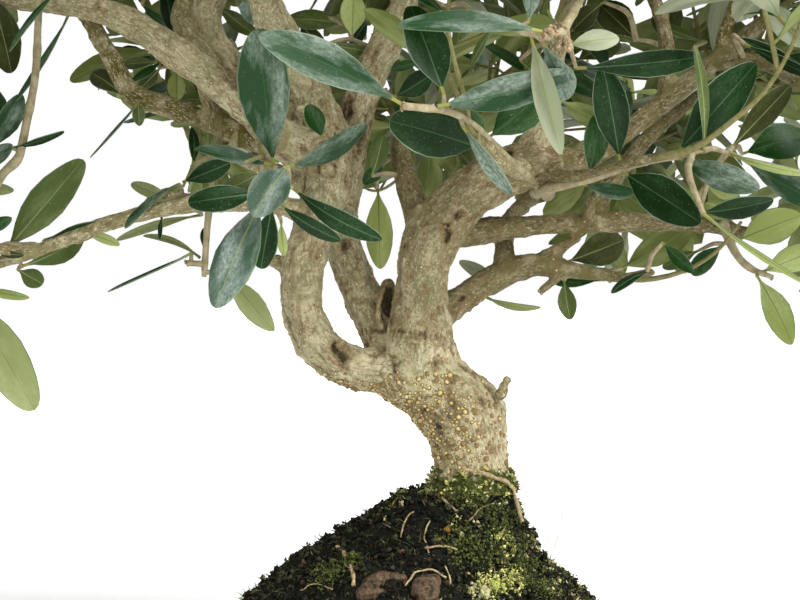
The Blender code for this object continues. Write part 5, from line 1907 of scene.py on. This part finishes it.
def make_moss(mesh, wood, tree, ground, rng):
    """Tufts of moss over the ball, thick in spots, and round the trunk's foot."""
    areas, centres, _ = face_facts(mesh)
    patch = noise_field(centres, 22.0, 61) + 0.5 * noise_field(centres, 8.0, 62)
    high = np.clip((centres[:, 2] - 40.0) / 60.0, 0.0, 1.0)
    mossy = np.clip(patch + 0.8 * high + 0.012 * (centres[:, 0] - 14.0) - 0.25, 0.0, 1.0)
    moss = Gather()
    for place, normal in scatter_on(mesh, ground * (0.02 + mossy), MOSS_TUFTS, rng):
        bright = noise_field(np.array([place]), 18.0, 71)[0] > 0.45
        tuft(moss, place, normal, rng.choice([0, 1, 1] if bright else [0, 0, 0, 2]), rng)
    for x, y, radius, shade in MOSS_SPOTS:
        middle = ray_to_wood(tree, (x, y))
        if middle is None:
            continue
        reach = np.linalg.norm(centres - np.array(middle), axis=1) / radius
        weights = areas * np.exp(-reach ** 2 * 2.0)
        for place, normal in scatter_on(mesh, weights, int(TUFTS_PER_RADIUS * radius), rng):
            tuft(moss, place, normal, shade if rng.random() < 0.75 else 0, rng)
    areas, centres, _ = face_facts(wood)
    foot = (np.clip((111.0 - centres[:, 2]) / 8.0, 0.0, 1.0)
            * np.clip(0.6 + noise_field(centres, 7.0, 5), 0.3, 1.0))
    for place, normal in scatter_on(wood, areas * foot, FOOT_TUFTS, rng):
        tuft(moss, place, normal, rng.choice([0, 0, 0, 1, 2]), rng, 0.8)
    settle(moss.make("moss", [plain(name) for name in MOSS_SKINS]), "soil")


def make_stones(tree, rng):
    stones = Gather()
    for x, y, radius, shade in STONES:
        middle = ray_to_wood(tree, (x, y))
        if middle is not None:
            place = middle + Vector((0.0, 0.25 * radius, -0.1 * radius))
            stones.add(*stone(place, radius, rng), shade)
    settle(stones.make("stones", [plain(name) for name in STONE_SKINS]), "soil")


def make_surface_roots(tree):
    roots = Gather()
    for rows, radius in ROOTS:
        grounded = [row if len(row) == 3
                    else (*row, (ray_to_wood(tree, row) or Vector()).y - ROOT_OUT) for row in rows]
        curve = photo_curve([(*row, radius) for row in grounded], ROOT_STEP)
        sway = [noise_field(curve[:, :3], 3.0, seed) for seed in (1, 2, 3)]
        curve[:, :3] += 0.5 * np.column_stack(sway)
        curve[:, 3] *= 1.0 + 0.35 * noise_field(curve[:, :3], 2.5, 9)
        roots.add(*tube_points(curve, THIN_SIDES))
    settle(roots.make("surface_roots", [plain("root_bark")]), "young_bark")


def dress_root_ball(mesh, wood):
    """Crumbs of soil, moss, stones and surface roots over the ball."""
    areas, centres, _ = face_facts(mesh)
    x, y, height = centres.T
    off_foot = np.hypot(x - TRUNK_FOOT, y) > FOOT_RADIUS
    ground = areas * ((height > CLEAR_OF_FLOOR) & off_foot)
    rng = random.Random(GROUND_SEED)
    tree = ray_tree(mesh)
    make_crumbs(mesh, ground, height, rng)
    make_moss(mesh, wood, tree, ground, rng)
    make_stones(tree, rng)
    make_surface_roots(tree)


def make_stage():
    """A pale floor in a white surround, with soft lights."""
    far = FLOOR_REACH
    floor = make_object("floor", [(-far, -far, 0), (far, -far, 0), (far, far, 0), (-far, far, 0)],
                        [(0, 1, 2, 3)], [Skin("floor", FLOOR_COLOUR, 0.9, FLOOR_GLOSS).made],
                        smooth=False)
    world = bpy.data.worlds.new("studio")
    world.use_nodes = True
    tree = world.node_tree
    seen = tree.nodes.new("ShaderNodeLightPath")
    strength = tree.nodes.new("ShaderNodeMapRange")
    strength.inputs["To Min"].default_value = AMBIENT
    strength.inputs["To Max"].default_value = 1.0
    tree.links.new(seen.outputs["Is Camera Ray"], strength.inputs["Value"])
    tree.nodes["Background"].inputs["Color"].default_value = (1.0, 1.0, 1.0, 1.0)
    tree.links.new(strength.outputs["Result"], tree.nodes["Background"].inputs["Strength"])
    bpy.context.scene.world = world
    for name, direction, spread, power in SUNS:
        light = bpy.data.lights.new(name, "SUN")
        light.energy = power
        light.angle = math.radians(spread)
        item = add_to_scene(name, light)
        item.rotation_euler = Vector(direction).to_track_quat("Z", "Y").to_euler()
    bpy.context.scene.view_settings.view_transform = "Standard"


def make_camera():
    lens = bpy.data.cameras.new("camera")
    lens.sensor_width = SENSOR
    lens.lens = -CAMERA_PLACE.y * SENSOR / VIEW_WIDTH
    item = add_to_scene("camera", lens)
    item.location = CAMERA_PLACE * MM
    item.rotation_euler = (math.radians(90.0), 0.0, 0.0)
    bpy.context.scene.camera = item


def main():
    limb_curves = {name: smooth_route(limb.route, RING_STEP_LEAST, RING_STEP)
                   for name, limb in LIMBS.items()}
    curves = {name: fine_curve(limb) for name, limb in LIMBS.items()}
    bark = bark_material()
    main_curves = {name: curves[name] for name in MAIN_LIMBS}
    wood = make_wood("trunk_and_main_limbs", main_curves, MAIN_VOXEL, bark, MAIN_CHANCE_MARKS)
    settle(wood, "bark", *MAIN_LIMBS)
    others = {name: curves[name] for name in LIMBS if name not in MAIN_LIMBS}
    shown = {name: photo_curve(rows) for name, rows in SHOWN_BOUGHS.items()}
    boughs = make_wood("boughs", others | shown, BOUGH_VOXEL, bark, BOUGH_CHANCE_MARKS)
    settle(boughs, "young_bark", *others)
    make_warts(wood.data)
    dress_root_ball(make_root_ball(), wood.data)
    leaf_skins = leaf_materials()
    make_foliage(limb_curves, Tubes(list(limb_curves.values())), leaf_skins)
    make_shown(curves | shown, leaf_skins)
    make_stage()
    make_camera()


main()
